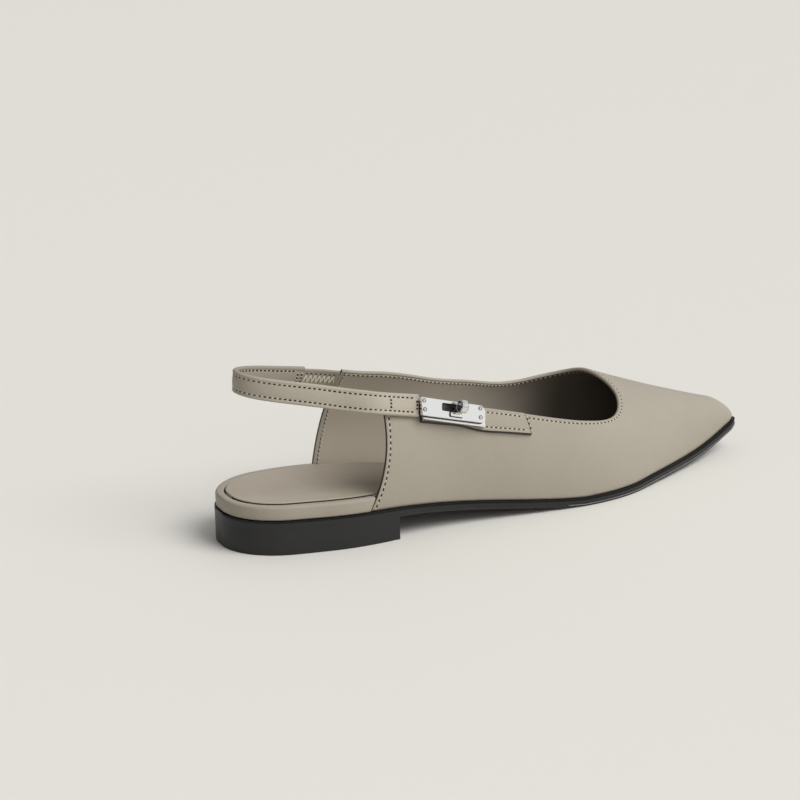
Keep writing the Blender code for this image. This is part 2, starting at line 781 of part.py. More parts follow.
class LockFrame:
    """The turn lock's own directions: along it, up it, and out from the quarter."""

    def __init__(self):
        phi = phi_at_height(LOCK_X, LATERAL, LOCK_Z)
        self.foot = skin(np.float64(LOCK_X), LATERAL, phi)
        normal = skin_normal(np.float64(LOCK_X), LATERAL, phi)
        along = np.array([1.0, -(normal[0] + LOCK_SLOPE * normal[2]) / normal[1], LOCK_SLOPE])
        self.along = along / np.linalg.norm(along)
        up = np.cross(self.along, normal)
        up *= np.sign(up[2])
        lean = math.radians(LOCK_LEAN_MORE)
        self.out = math.cos(lean) * normal + math.sin(lean) * up
        self.up = math.cos(lean) * up - math.sin(lean) * normal
        under = [
            tab_place(share, down, GAP + TAB_THICK)
            for share in np.linspace(0.0, 0.62, 16)
            for down in (0, 0.5, 1)
        ]
        self.base = max(float((point - self.foot) @ self.out) for point in under) + GAP
        self.plate = self.base + BASE_THICK + GAP
        self.face = self.plate + LOCK_THICK

    def place(self, along, up, out):
        return self.foot + self.along * along + self.up * up + self.out * out

    def ring(self, outline, out):
        return [self.place(along, up, out) for along, up in outline]


def inset_outline(outline, distance):
    """A convex outline drawn in by a distance."""
    points = np.array(outline)
    moved = []
    for before, point, after in zip(np.roll(points, 1, axis=0), points, np.roll(points, -1, axis=0)):
        a, b = point - before, after - point
        a, b = a / np.linalg.norm(a), b / np.linalg.norm(b)
        inward = np.array([-a[1] - b[1], a[0] + b[0]])
        inward *= distance / (inward @ np.array([-a[1], a[0]]))
        moved.append(point + inward)
    return moved


def disc(middle, radius, count):
    turn = np.linspace(0.0, 2 * math.pi, count, endpoint=False)
    return [(middle[0] + radius * math.cos(t), middle[1] + radius * math.sin(t)) for t in turn]


def oblong(middle, size):
    half_l, half_h = size[0] / 2, size[1] / 2
    signs = ((-1, -1), (1, -1), (1, 1), (-1, 1))
    return [(middle[0] + a * half_l, middle[1] + b * half_h) for a, b in signs]


def slab(name, lock, outline, low, high, bevel):
    """A flat plate of the lock with its outer edge bevelled."""
    bm = bmesh.new()
    rings = [lock.ring(outline, low), lock.ring(outline, high - bevel)]
    rings.append(lock.ring(inset_outline(outline, bevel), high))
    loft(bm, rings)
    return finish_mesh(name, bm, "polished_metal", 20.0)


def as_tool(piece):
    """Keeps a piece as a cutting or joining tool only."""
    SHOE.objects.unlink(piece)
    TOOLS.objects.link(piece)
    piece.hide_render = True
    piece.display_type = "WIRE"
    return piece


def combine(piece, tool, operation):
    step = piece.modifiers.new(tool.name, "BOOLEAN")
    step.solver = "EXACT"
    step.operation = operation
    step.object = tool


def build_lock():
    lock = LockFrame()
    slab("lock_base", lock, BASE_OUTLINE, lock.base, lock.base + BASE_THICK, LOCK_BEVEL / 2)
    plate = slab("lock_plate", lock, LOCK_OUTLINE, lock.plate, lock.face, LOCK_BEVEL)
    lip_low = lock.face - LOCK_THICK / 2
    lip = slab("slot_lip", lock, oblong(LIP_MIDDLE, LIP_SIZE), lip_low, lock.face + LIP_STAND, LOCK_BEVEL)
    slot = slab("slot_cutter", lock, oblong(SLOT_MIDDLE, SLOT_SIZE), lock.base, lock.face + 2 * LIP_STAND, 0.0001)
    combine(plate, as_tool(lip), "UNION")
    combine(plate, as_tool(slot), "DIFFERENCE")
    bm = bmesh.new()
    barrel = [
        (-KNOB_LENGTH / 2, KNOB_RADIUS - KNOB_BEVEL),
        (KNOB_BEVEL - KNOB_LENGTH / 2, KNOB_RADIUS),
        (KNOB_LENGTH / 2 - KNOB_BEVEL, KNOB_RADIUS),
        (KNOB_LENGTH / 2, KNOB_RADIUS - KNOB_BEVEL),
    ]
    centre_up = POST_MIDDLE[1] + KNOB_RISE
    rings = []
    for along, radius in barrel:
        face = disc((centre_up, lock.face + KNOB_STAND), radius, 28)
        rings.append([lock.place(POST_MIDDLE[0] + along, up, out) for up, out in face])
    loft(bm, rings)
    knob = finish_mesh("lock_knob", bm, "polished_metal")
    bm = bmesh.new()
    post = disc(POST_MIDDLE, POST_RADIUS, 16)
    post_ends = (lock.base + BASE_THICK + GAP, lock.face + KNOB_STAND)
    loft(bm, [lock.ring(post, out) for out in post_ends])
    combine(knob, as_tool(finish_mesh("knob_post", bm, "polished_metal")), "UNION")
    for number, middle in enumerate(SCREW_MIDDLES, 1):
        bm = bmesh.new()
        low, high = lock.face + TOUCH, lock.face + TOUCH + SCREW_STAND
        wide, narrow = disc(middle, SCREW_RADIUS, 14), disc(middle, SCREW_RADIUS * 0.6, 14)
        loft(bm, [lock.ring(wide, low), lock.ring(wide, (low + high) / 2), lock.ring(narrow, high)])
        finish_mesh(f"lock_screw_{number}", bm, "polished_metal")


def stand_over_origin():
    """Moves the whole shoe so that the origin is under the middle of its box."""
    bpy.context.view_layer.update()
    graph = bpy.context.evaluated_depsgraph_get()
    corners = []
    for piece in SHOE.objects:
        if piece.type == "MESH":
            shown = piece.evaluated_get(graph)
            corners += [shown.matrix_world @ v.co for v in shown.data.vertices]
    corners = np.array(corners)
    low, high = corners.min(axis=0), corners.max(axis=0)
    ROOT.location = (-(low[0] + high[0]) / 2, -(low[1] + high[1]) / 2, -low[2])


def build_pieces():
    build_heel_block()
    build_outsole()
    build_footbed()
    build_insole()
    build_upper()
    build_strap_tab()
    build_heel_strap()
    build_elastic()
    build_lock()
    stand_over_origin()


for old in list(bpy.data.objects):
    bpy.data.objects.remove(old)
SHOE = bpy.data.collections.new("sling_back_flat")
TOOLS = bpy.data.collections.new("tools")
for group in (SHOE, TOOLS):
    bpy.context.scene.collection.children.link(group)
ROOT = bpy.data.objects.new("shoe_origin", None)
SHOE.objects.link(ROOT)
build_pieces()
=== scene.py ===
"""The looks of the sling back flat, the right shoe of a pair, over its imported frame.

Metres. Shapes are worked out in the shoe's own lengths: x from the back of the heel to the toe, y to
the medial side, z up from the floor. Every mesh is moved by SHIFT into the frame when it is made.
"""

import math

import bmesh
import bpy
import numpy as np
from mathutils import Matrix, Vector


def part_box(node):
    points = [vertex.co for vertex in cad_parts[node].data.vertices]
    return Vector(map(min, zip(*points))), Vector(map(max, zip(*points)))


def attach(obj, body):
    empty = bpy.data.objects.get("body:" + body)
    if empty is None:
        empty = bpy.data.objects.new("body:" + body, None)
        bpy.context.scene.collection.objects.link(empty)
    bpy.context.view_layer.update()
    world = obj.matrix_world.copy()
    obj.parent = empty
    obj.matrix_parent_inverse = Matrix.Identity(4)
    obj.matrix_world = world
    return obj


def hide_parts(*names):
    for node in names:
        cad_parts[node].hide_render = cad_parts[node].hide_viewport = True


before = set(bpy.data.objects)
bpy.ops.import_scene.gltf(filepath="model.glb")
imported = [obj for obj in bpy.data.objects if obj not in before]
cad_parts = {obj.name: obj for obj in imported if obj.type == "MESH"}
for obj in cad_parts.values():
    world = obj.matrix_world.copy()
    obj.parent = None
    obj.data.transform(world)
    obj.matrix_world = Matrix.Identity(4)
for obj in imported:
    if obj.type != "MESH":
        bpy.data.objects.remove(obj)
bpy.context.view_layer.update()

MM = 0.001

# Driving sizes

LENGTH = 0.258
GAP = 0.0003
END_FLAT = 0.00015

SOLE_THICK = 0.0034
HEEL_BREAST = 0.0706

WALL = 0.0018
FEATHER_INSET = 0.0013
WALL_FALL = 4

FOOTBED_THICK = 0.0063
FOOTBED_FRONT_THICK = 0.0030
FOOTBED_THINS_FROM = 0.066
FOOTBED_THINS_TO = 0.105
FOOTBED_END = 0.2420
RAND_INSET = 0.0006
RAND_ROUND = 0.0013
RIM_WIDTH = 0.0038
RECESS = 0.0020
RAND_STEP = 0.0570
RAND_STEP_HALF = 0.0001
RAND_STEP_REACH = 0.0240
RAND_GAP = 0.0004

INSOLE_THICK = 0.0022
INSOLE_DISH = 0.0012
INSOLE_END = 0.2380
DISH_START = 0.0300
DISH_END = 0.0900
DISH_FADE = 0.0600

STRAP_WIDTH = 0.0098
STRAP_THICK = 0.0022
STRAP_TOP_BACK = 0.0796
STRAP_SLOPE = -0.229
ELASTIC_WIDTH = 0.0079
ELASTIC_THICK = 0.0014
ELASTIC_TUCKED = 0.0016

TAB_START = 0.0834
TAB_END = 0.1337
TAB_END_LEAN = 0.0017
TAB_DROP = 0.0004
TAB_THICK = 0.0016
TAB_TOP_ROWS = 7

LOCK_X = 0.0973
LOCK_Z = 0.0507
LOCK_SLOPE = -0.288
LOCK_LEAN_MORE = 3.0
LOCK_THICK = 0.0020
LOCK_OUTLINE = (
    (-0.0160, 0.0039),
    (-0.0150, -0.0039),
    (0.0146, -0.0037),
    (0.0156, -0.0027),
    (0.0154, 0.0018),
    (0.0136, 0.0037),
)
BASE_THICK = 0.0008
BASE_OUTLINE = ((-0.0145, 0.0033), (-0.0135, -0.0050), (0.0172, -0.0050), (0.0160, 0.0033))
SLOT_MIDDLE = (-0.0006, 0.0009)
SLOT_SIZE = (0.0104, 0.0034)
LIP_MIDDLE = (0.0010, -0.0019)
LIP_SIZE = (0.0058, 0.0018)
LIP_STAND = 0.0009
POST_MIDDLE = (0.0024, 0.0008)
POST_RADIUS = 0.0010
KNOB_RISE = 0.0006
KNOB_STAND = 0.0031
KNOB_RADIUS = 0.0028
KNOB_LENGTH = 0.0034
SCREW_MIDDLES = ((-0.0146, 0.0025), (-0.0141, -0.0013), (0.0129, 0.0024), (0.0132, -0.0015))

SOLE_COLUMNS = ("x", "lateral", "medial", "bottom")
SOLE_ROWS = (
    (0.000, -0.0345, 0.0105, 0.0116),
    (0.024, -0.0386, 0.0147, 0.0114),
    (0.047, -0.0425, 0.0151, 0.0110),
    (0.072, -0.0417, 0.0108, 0.0101),
    (0.097, -0.0392, 0.0102, 0.0075),
    (0.122, -0.0400, 0.0150, 0.0044),
    (0.147, -0.0414, 0.0245, 0.0012),
    (0.167, -0.0412, 0.0310, -0.0004),
    (0.182, -0.0382, 0.0322, -0.0004),
    (0.197, -0.0318, 0.0298, 0.0006),
    (0.215, -0.0228, 0.0232, 0.0016),
    (0.236, -0.0125, 0.0138, 0.0042),
    (0.258, -0.0022, 0.0038, 0.0110),
)
CENTRE_COLUMNS = ("x", "y")
CENTRE_ROWS = (
    (0.000, -0.0110),
    (0.060, -0.0130),
    (0.130, -0.0090),
    (0.200, -0.0005),
    (0.258, 0.0007),
)
HEEL_ROUND = 0.0260
HEEL_POWER = 2.3
TOE_ROUND = 0.0050
TOE_ROUND_LEAST = 0.0025
HEEL_BLEND = 0.0500
TOE_BLEND = 0.0300

LAST_COLUMNS = ("x", "crest_y", "crest_z", "bulge_lateral", "bulge_medial")
LAST_ROWS = (
    (0.050, -0.0140, 0.0850, 0.0026, 0.0048),
    (0.066, -0.0130, 0.0820, 0.0026, 0.0048),
    (0.100, -0.0090, 0.0770, 0.0024, 0.0042),
    (0.130, -0.0040, 0.0695, 0.0018, 0.0028),
    (0.160, 0.0000, 0.0580, 0.0013, 0.0016),
    (0.182, 0.0030, 0.0481, 0.0010, 0.0012),
    (0.200, 0.0040, 0.0407, 0.0008, 0.0010),
    (0.215, 0.0032, 0.0352, 0.0007, 0.0008),
    (0.230, 0.0023, 0.0302, 0.0006, 0.0006),
    (0.241, 0.0015, 0.0268, 0.0005, 0.0005),
    (0.258, 0.0008, 0.0225, 0.0004, 0.0004),
)
VAMP_ROUND = 0.0135

# Places along the feather line, and the topline's own x and y over each of them
TOPLINE_LATERAL = (
    (0.0573, 0.0669, -0.0326),
    (0.0800, 0.0850, -0.0310),
    (0.1050, 0.1080, -0.0309),
    (0.1300, 0.1310, -0.0317),
    (0.1550, 0.1530, -0.0320),
    (0.1800, 0.1690, -0.0306),
    (0.2030, 0.1800, -0.0271),
    (0.2230, 0.1863, -0.0217),
    (0.2400, 0.1890, -0.0157),
    (0.2520, 0.1891, -0.0098),
)
TOPLINE_TIP = (0.2567, 0.1881, -0.0048)
TOPLINE_MEDIAL = (
    (0.0521, 0.0654, 0.0028),
    (0.0780, 0.0850, 0.0025),
    (0.1050, 0.1060, 0.0053),
    (0.1300, 0.1270, 0.0105),
    (0.1550, 0.1465, 0.0170),
    (0.1750, 0.1600, 0.0198),
    (0.1950, 0.1710, 0.0189),
    (0.2130, 0.1782, 0.0153),
    (0.2300, 0.1824, 0.0097),
    (0.2460, 0.1854, 0.0027),
)
BACK_EDGE_SWEEP_LATERAL = 3.0
BACK_EDGE_SWEEP_MEDIAL = 1.0
BACK_EDGE_REACH = 0.0600

# x, y and lean in degrees
STRAP_ROWS = (
    (0.0500, -0.0322, 6.0),
    (0.0410, -0.0300, 4.0),
    (0.0320, -0.0284, 2.0),
    (0.0240, -0.0272, 0.0),
    (0.0175, -0.0256, 0.0),
    (0.0120, -0.0226, 2.0),
    (0.0090, -0.0180, 4.0),
    (0.0092, -0.0130, 4.0),
    (0.0128, -0.0088, 2.0),
    (0.0185, -0.0056, 0.0),
    (0.0260, -0.0030, 2.0),
    (0.0345, -0.0008, 5.0),
    (0.0420, 0.0012, 8.0),
    (0.0455, 0.0020, 9.5),
)
STRAP_ON_QUARTER = (0.0826, 0.0740, 0.0640)

TAB_COLUMNS = ("x", "height")
TAB_ROWS = (
    (0.0830, 0.0098),
    (0.0930, 0.0094),
    (0.1030, 0.0089),
    (0.1100, 0.0095),
    (0.1200, 0.0092),
    (0.1370, 0.0081),
)

# Stitching

STITCH_INSET = 1.9 * MM
STITCH_PITCH = 2.2 * MM
BACK_STITCH_PITCH = 2.5 * MM
THREAD_HALF_WIDTH = 0.27 * MM
HOLE_HALF_WIDTH = 0.38 * MM
STRAP_HOLE = 0.54 * MM
SEAM_DEPTH = 0.14 * MM
SEAM_HALF_WIDTH = 0.55 * MM

# The camera, in the shoe's own lengths

CAMERA_EYE = (-0.46106, -1.25901, 0.48229)
CAMERA_AIM = (0.10176, 0.02569, 0.03888)
CAMERA_ROLL = -1.536
CAMERA_LENS = 148.75
CAMERA_SENSOR = 36.0


# Curves through the tables


def spline(xs, ys):
    """A natural cubic through the points, as a function of x."""
    xs, ys = np.array(xs, float), np.array(ys, float)
    n, h = len(xs), np.diff(xs)
    system, right = np.eye(n), np.zeros(n)
    for i in range(1, n - 1):
        system[i, i - 1 : i + 2] = h[i - 1], 2 * (h[i - 1] + h[i]), h[i]
        right[i] = 6 * ((ys[i + 1] - ys[i]) / h[i] - (ys[i] - ys[i - 1]) / h[i - 1])
    bend = np.linalg.solve(system, right)

    def at(x):
        x = np.asarray(x, float)
        i = np.clip(np.searchsorted(xs, x) - 1, 0, n - 2)
        t = x - xs[i]
        rise = (ys[i + 1] - ys[i]) / h[i] - h[i] * (2 * bend[i] + bend[i + 1]) / 6
        return ys[i] + t * rise + t**2 * bend[i] / 2 + t**3 * (bend[i + 1] - bend[i]) / (6 * h[i])

    return at


def table(rows, columns):
    """A spline over the first column for each other column."""
    data = np.array(rows, float)
    return {name: spline(data[:, 0], data[:, k]) for k, name in enumerate(columns) if k}


SOLE = table(SOLE_ROWS, SOLE_COLUMNS)
CENTRE = table(CENTRE_ROWS, CENTRE_COLUMNS)
LAST = table(LAST_ROWS, LAST_COLUMNS)
TAB = table(TAB_ROWS, TAB_COLUMNS)
LATERAL, MEDIAL = -1.0, 1.0
LATERAL_TOP = spline(*zip(*(row[1:] for row in TOPLINE_LATERAL[:TAB_TOP_ROWS])))


def by_side(side, lateral, medial):
    """Lateral values where side is below zero, medial ones elsewhere."""
    return np.where(np.asarray(side) < 0, lateral, medial)


def smoothstep(t):
    t = np.clip(t, 0.0, 1.0)
    return t * t * (3 - 2 * t)


def graded(length, step_at):
    """Places from 0 to length whose spacing follows step_at."""
    s = np.linspace(0.0, length, 6000)
    density = 1 / step_at(s)
    count = np.concatenate([[0.0], np.cumsum((density[1:] + density[:-1]) / 2 * np.diff(s))])
    return np.interp(np.linspace(0.0, count[-1], int(math.ceil(count[-1])) + 1), count, s)


def unit(v):
    return v / np.maximum(np.linalg.norm(v, axis=-1, keepdims=True), 1e-12)


def in_mm(rows):
    return [(a * MM, b * MM) for a, b in rows]


def path_length(points):
    steps = np.linalg.norm(np.diff(points, axis=0), axis=-1)
    return np.concatenate([[0.0], np.cumsum(steps)])


def on_line(at, lengths, points):
    """The points of a line at given lengths along it."""
    return np.stack([np.interp(at, lengths, points[:, k]) for k in range(points.shape[1])], -1)


# The sole's outline


def underside(x):
    """Height of the outsole's underside: heel seat, arch, flat tread and toe spring."""
    return np.maximum(SOLE["bottom"](x), 0.0)


def sole_top(x):
    return underside(x) + SOLE_THICK


def feather_z(x):
    return sole_top(x) + GAP


def end_rounding(x, inset):
    """Factor on the half breadth that closes the outline round the heel and at the toe."""
    heel = np.clip(1 - (x - inset) / (HEEL_ROUND - inset), 0.0, 1.0)
    toe_round = max(TOE_ROUND - inset, TOE_ROUND_LEAST)
    toe = np.clip((x - (LENGTH - inset - toe_round)) / toe_round, 0.0, 1.0)
    return (1 - heel**HEEL_POWER) ** (1 / HEEL_POWER) * np.sqrt(1 - toe**2)


def edge_y(x, side, inset=0.0):
    """The outline at x, set in from the sole's edge."""
    x = np.asarray(x, float)
    step = 0.0005
    curves = SOLE["lateral"], SOLE["medial"]
    slope = by_side(side, *((curve(x + step) - curve(x - step)) / (2 * step) for curve in curves))
    open_y = by_side(side, *(curve(x) for curve in curves)) - side * inset * np.sqrt(1 + slope**2)
    centre = CENTRE["y"](x)
    return centre + (open_y - centre) * end_rounding(x, inset)


# The last's skin


def skin(x, side, phi):
    """A place on the last: phi is 0 at the feather line and a quarter turn at the crest."""
    foot = feather_z(x)
    crest_y = LAST["crest_y"](x)
    toe_start = LENGTH - FEATHER_INSET - VAMP_ROUND
    toe = np.clip((x - toe_start) / VAMP_ROUND, 0.0, 1.0)
    nose = np.sqrt(1 - toe**2)
    half = side * (edge_y(x, side, FEATHER_INSET) - crest_y)
    rise = (LAST["crest_z"](x) - foot) * nose
    bulge = by_side(side, LAST["bulge_lateral"](x), LAST["bulge_medial"](x))
    peak = math.atan(1 / math.sqrt(WALL_FALL))
    swell = np.sin(phi) * np.cos(phi) ** WALL_FALL / (math.sin(peak) * math.cos(peak) ** WALL_FALL)
    y = crest_y + side * (half * np.cos(phi) + bulge * nose * swell)
    return np.stack([x, y, foot + rise * np.sin(phi)], -1)


def skin_normal(x, side, phi):
    """The outward direction of the last's skin."""
    step = 1e-4
    along = skin(x + step, side, phi) - skin(x - step, side, phi)
    up = skin(x, side, phi + step) - skin(x, side, phi - step)
    return unit(np.cross(along, up) * (-side))


def phi_at_plan(x, y):
    """The side and phi of the place on the last over the plan point x, y, its bulge left out."""
    crest_y = LAST["crest_y"](x)
    side = np.where(y < crest_y, LATERAL, MEDIAL)
    half = side * (edge_y(x, side, FEATHER_INSET) - crest_y)
    share = np.clip(side * (y - crest_y) / np.maximum(half, 1e-6), 0.0, 1.0)
    return side, np.arccos(share)


def phi_at_height(x, z):
    """The phi where the wall at x stands at the height z."""
    foot = feather_z(x)
    return np.arcsin(np.clip((z - foot) / (LAST["crest_z"](x) - foot), 0.0, 1.0))


# The upper's columns, from the feather line up to the topline


def feather_path():
    """Dense plan points along the feather line: lateral back edge, toe tip, medial back edge."""
    tip = LENGTH - FEATHER_INSET
    turn = np.linspace(0.0, math.pi / 2, 400)
    ends = []
    for side, start in ((LATERAL, TOPLINE_LATERAL[0][0]), (MEDIAL, TOPLINE_MEDIAL[0][0])):
        x = start + (tip - start) * np.sin(turn)
        ends.append(np.stack([x, edge_y(x, side, FEATHER_INSET)], -1))
    return np.vstack([ends[0], ends[1][::-1][1:]]), len(turn) - 1


def topline(places, path, lengths, tip):
    """Plan points of the topline that belong to the given lengths along the feather line."""
    lateral, medial = np.array(TOPLINE_LATERAL), np.array(TOPLINE_MEDIAL)
    lateral_at = np.interp(lateral[:, 0], path[: tip + 1, 0], lengths[: tip + 1])
    medial_at = np.interp(medial[:, 0], path[tip:, 0][::-1], lengths[tip:][::-1])
    at = np.concatenate([lateral_at, [lengths[tip]], medial_at[::-1]])
    top = np.vstack([lateral[:, 1:], [TOPLINE_TIP[1:]], medial[::-1, 1:]])
    return np.stack([spline(at, top[:, 0])(places), spline(at, top[:, 1])(places)], -1)


COLUMN_STEP = 1.25 * MM
COLUMN_STEP_TIP = 0.35 * MM
COLUMN_TIP_REACH = 12 * MM
EDGE_STEP = 0.12 * MM
EDGE_BAND = 2.6 * MM
EDGE_REACH = 7 * MM
FINE_ROWS_END = 8 * MM
LOW_ROWS = 40


def edge_steps(s):
    """Spacing that is fine in a band along an edge and grows away from it."""
    in_band = 0.09 * MM * np.clip(s / EDGE_BAND, 0.0, 1.0)
    return EDGE_STEP + in_band + (COLUMN_STEP - EDGE_STEP) * smoothstep((s - EDGE_BAND) / EDGE_REACH)


def upper_grid():
    """The upper's outer surface as columns from the topline down to the feather line, with each
    point's distance from the topline and from the quarter's back edge."""
    path, tip = feather_path()
    lengths = path_length(path)

    def step_at(s):
        from_tip = np.abs(s - lengths[tip])
        growth = smoothstep(from_tip / COLUMN_TIP_REACH)
        tip_step = COLUMN_STEP_TIP + (COLUMN_STEP - COLUMN_STEP_TIP) * growth
        return np.minimum(tip_step, edge_steps(np.minimum(s, lengths[-1] - s)))

    places = graded(lengths[-1], step_at)
    foot = on_line(places, lengths, path)
    top = topline(places, path, lengths, tip)
    _, phi_top = phi_at_plan(top[:, 0], top[:, 1])
    lateral_column = places < lengths[tip]
    share = np.where(lateral_column, -1.0, 1.0)
    sweep = by_side(share, BACK_EDGE_SWEEP_LATERAL, BACK_EDGE_SWEEP_MEDIAL)
    back_x = by_side(share, TOPLINE_LATERAL[0][0], TOPLINE_MEDIAL[0][0])
    at_back = 1 - smoothstep((foot[:, 0] - back_x) / BACK_EDGE_REACH)
    samples = 161
    dense = np.zeros((len(places), samples, 3))
    for j, v in enumerate(np.linspace(1.0, 0.0, samples)):
        lerp = (1 - np.cos(phi_top * v)) / (1 - np.cos(phi_top))
        plan = foot + (top - foot) * lerp[:, None]
        side, phi = phi_at_plan(plan[:, 0], plan[:, 1])
        if j == samples - 1:
            side, phi = share, np.zeros(len(places))
        x = plan[:, 0] + (top[:, 0] - foot[:, 0]) * (1 - (1 - v) ** sweep - lerp) * at_back
        dense[:, j] = skin(x, side, phi)
    fine = graded(FINE_ROWS_END, edge_steps)
    low = (np.arange(1, LOW_ROWS + 1) / LOW_ROWS) ** 0.93
    grid, from_top = [], []
    for column in dense:
        down = path_length(column)
        at = np.concatenate([fine, FINE_ROWS_END + (down[-1] - FINE_ROWS_END) * low])
        grid.append(on_line(at, down, column))
        from_top.append(at)
    grid, from_top = np.array(grid), np.array(from_top)
    steps = np.linalg.norm(np.diff(grid, axis=0), axis=-1)
    across = np.concatenate([np.zeros((1, grid.shape[1])), np.cumsum(steps, axis=0)])
    from_back = np.minimum(across, across[-1] - across)
    return grid, from_top, from_back, share


def grid_normals(grid, like):
    """Unit normals of a grid of points, on the side where they agree with the directions like."""
    along = np.gradient(grid, axis=0)
    down = np.gradient(grid, axis=1)
    normal = unit(np.cross(along, down))
    flip = np.sign(np.sum(normal * like, axis=-1, keepdims=True))
    return normal * np.where(flip == 0, 1.0, flip)


# Meshes


def frame_shift():
    """From the shoe's own lengths to the frame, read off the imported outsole."""
    low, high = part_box("outsole")
    x = np.linspace(0.002, 0.250, 4000)
    middle_y = (edge_y(x, LATERAL).min() + edge_y(x, MEDIAL).max()) / 2
    return np.array([(low[0] + high[0]) / 2 - LENGTH / 2, (low[1] + high[1]) / 2 - middle_y, 0.0])


SHIFT = frame_shift()
PIECES = bpy.data.collections.new("looks")
bpy.context.scene.collection.children.link(PIECES)


def new_piece(name, points, faces, materials, face_slots=None):
    """A mesh object from points in the shoe's own lengths."""
    mesh = bpy.data.meshes.new(name)
    mesh.from_pydata((np.asarray(points) + SHIFT).tolist(), [], [list(map(int, f)) for f in faces])
    mesh.shade_smooth()
    for item in materials:
        mesh.materials.append(item)
    if face_slots is not None:
        mesh.polygons.foreach_set("material_index", np.asarray(face_slots, np.int32))
    mesh.update()
    piece = bpy.data.objects.new(name, mesh)
    PIECES.objects.link(piece)
    return piece


def tidy_normals(piece, angle=None, weld=0.0):
    """Outward faces, with points closer than weld joined and edges over an angle kept sharp."""
    bm = bmesh.new()
    bm.from_mesh(piece.data)
    if weld:
        bmesh.ops.remove_doubles(bm, verts=bm.verts, dist=weld)
    bmesh.ops.recalc_face_normals(bm, faces=bm.faces)
    bm.to_mesh(piece.data)
    bm.free()
    piece.data.shade_smooth()
    if angle:
        piece.data.set_sharp_from_angle(angle=math.radians(angle))
    return piece


def quads(rows, columns, offset=0, closed=False):
    """Faces of a grid of points stored row by row, with closed for rows that come round."""
    faces = []
    last = columns if closed else columns - 1
    for i in range(rows - 1):
        for j in range(last):
            a, b = offset + i * columns + j, offset + i * columns + (j + 1) % columns
            faces.append((a, b, b + columns, a + columns))
    return faces


def loft(name, rings, materials, angle=40.0, cap=None):
    """A closed body through rings with the same number of points."""
    rings = np.asarray(rings, float)
    count, size = rings.shape[:2]
    faces = quads(count, size, closed=True)
    last = (count - 1) * size
    for ids in (list(range(size)), list(range(last, last + size))):
        faces += cap(ids) if cap else [ids]
    return tidy_normals(new_piece(name, rings.reshape(-1, 3), faces, materials), angle)


def ride_for(piece, slot, *nodes):
    """Puts a piece on the body in place of the CAD nodes that it dresses; slot is not used."""
    if nodes:
        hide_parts(*nodes)
    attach(piece, "root")
    return piece


# Materials


def new_material(name):
    made = bpy.data.materials.new(name)
    made.use_nodes = True
    nodes = made.node_tree.nodes
    return made, nodes, nodes["Principled BSDF"]


def feed(node, **values):
    """Sets a node's inputs, with _ for a space, to values or other nodes' outputs, and its settings."""
    for key, value in values.items():
        socket = node.inputs.get(key.replace("_", " "))
        if socket is None:
            setattr(node, key, value)
        elif isinstance(value, bpy.types.NodeSocket):
            node.id_data.links.new(value, socket)
        else:
            socket.default_value = value
    return node


def add(nodes, kind, **values):
    """A new shader node, fed with values."""
    return feed(nodes.new("ShaderNode" + kind), **values)


def calculated(nodes, operation, *values):
    """The result of a sum on values or other nodes' outputs."""
    node = nodes.new("ShaderNodeMath")
    node.operation = operation
    for socket, value in zip(node.inputs, values):
        if isinstance(value, bpy.types.NodeSocket):
            node.id_data.links.new(value, socket)
        else:
            socket.default_value = value
    return node.outputs["Value"]


def ranged(nodes, value, low, high, **values):
    """A value mapped to a range, from 0 to 1 unless values say otherwise."""
    return add(nodes, "MapRange", Value=value, To_Min=low, To_Max=high, **values).outputs["Result"]


def leather(
    name, colour, dark, rough=0.42, grain=0.00018, grain_scale=1150.0, coat=0.03, cloud=0.5, painted_shading=None
):
    """Smooth calf: soft clouds of colour and a fine pebble, and with painted_shading (start, end,
    level) painted light and shade: a colour that changes to a level of itself between two
    places along the shoe."""
    made, nodes, shader = new_material(name)
    place = add(nodes, "TexCoord").outputs["Object"]
    clouds = add(nodes, "TexNoise", Vector=place, Scale=38.0, Detail=3.0, Roughness=0.55)
    ramp = add(nodes, "ValToRGB", Fac=clouds.outputs["Fac"])
    low, high = ramp.color_ramp.elements
    low.position, low.color = 0.5 - cloud / 2, (*dark, 1.0)
    high.position, high.color = 0.5 + cloud / 2, (*colour, 1.0)
    paint = ramp.outputs["Color"]
    if painted_shading:
        start, end, level = painted_shading
        x = add(nodes, "SeparateXYZ", Vector=place).outputs["X"]
        ends = {"From_Min": start + SHIFT[0], "From_Max": end + SHIFT[0]}
        share = ranged(nodes, x, 1.0, level, interpolation_type="SMOOTHSTEP", **ends)
        paint = add(nodes, "VectorMath", operation="SCALE", Vector=paint, Scale=share).outputs["Vector"]
    pebble = add(nodes, "TexVoronoi", Vector=place, Scale=grain_scale, Randomness=1.0)
    fine = add(nodes, "TexNoise", Vector=place, Scale=grain_scale * 0.35, Detail=4.0, Roughness=0.6)
    fine = fine.outputs["Fac"]
    relief = calculated(nodes, "MULTIPLY_ADD", pebble.outputs["Distance"], 0.6, fine)
    bump = add(nodes, "Bump", Strength=0.45, Distance=grain, Height=relief)
    gloss = ranged(nodes, fine, rough - 0.05, rough + 0.07)
    feed(shader, Base_Color=paint, Normal=bump.outputs["Normal"], Roughness=gloss)
    feed(shader, Coat_Weight=coat, Coat_Roughness=0.35, Specular_IOR_Level=0.30)
    return made


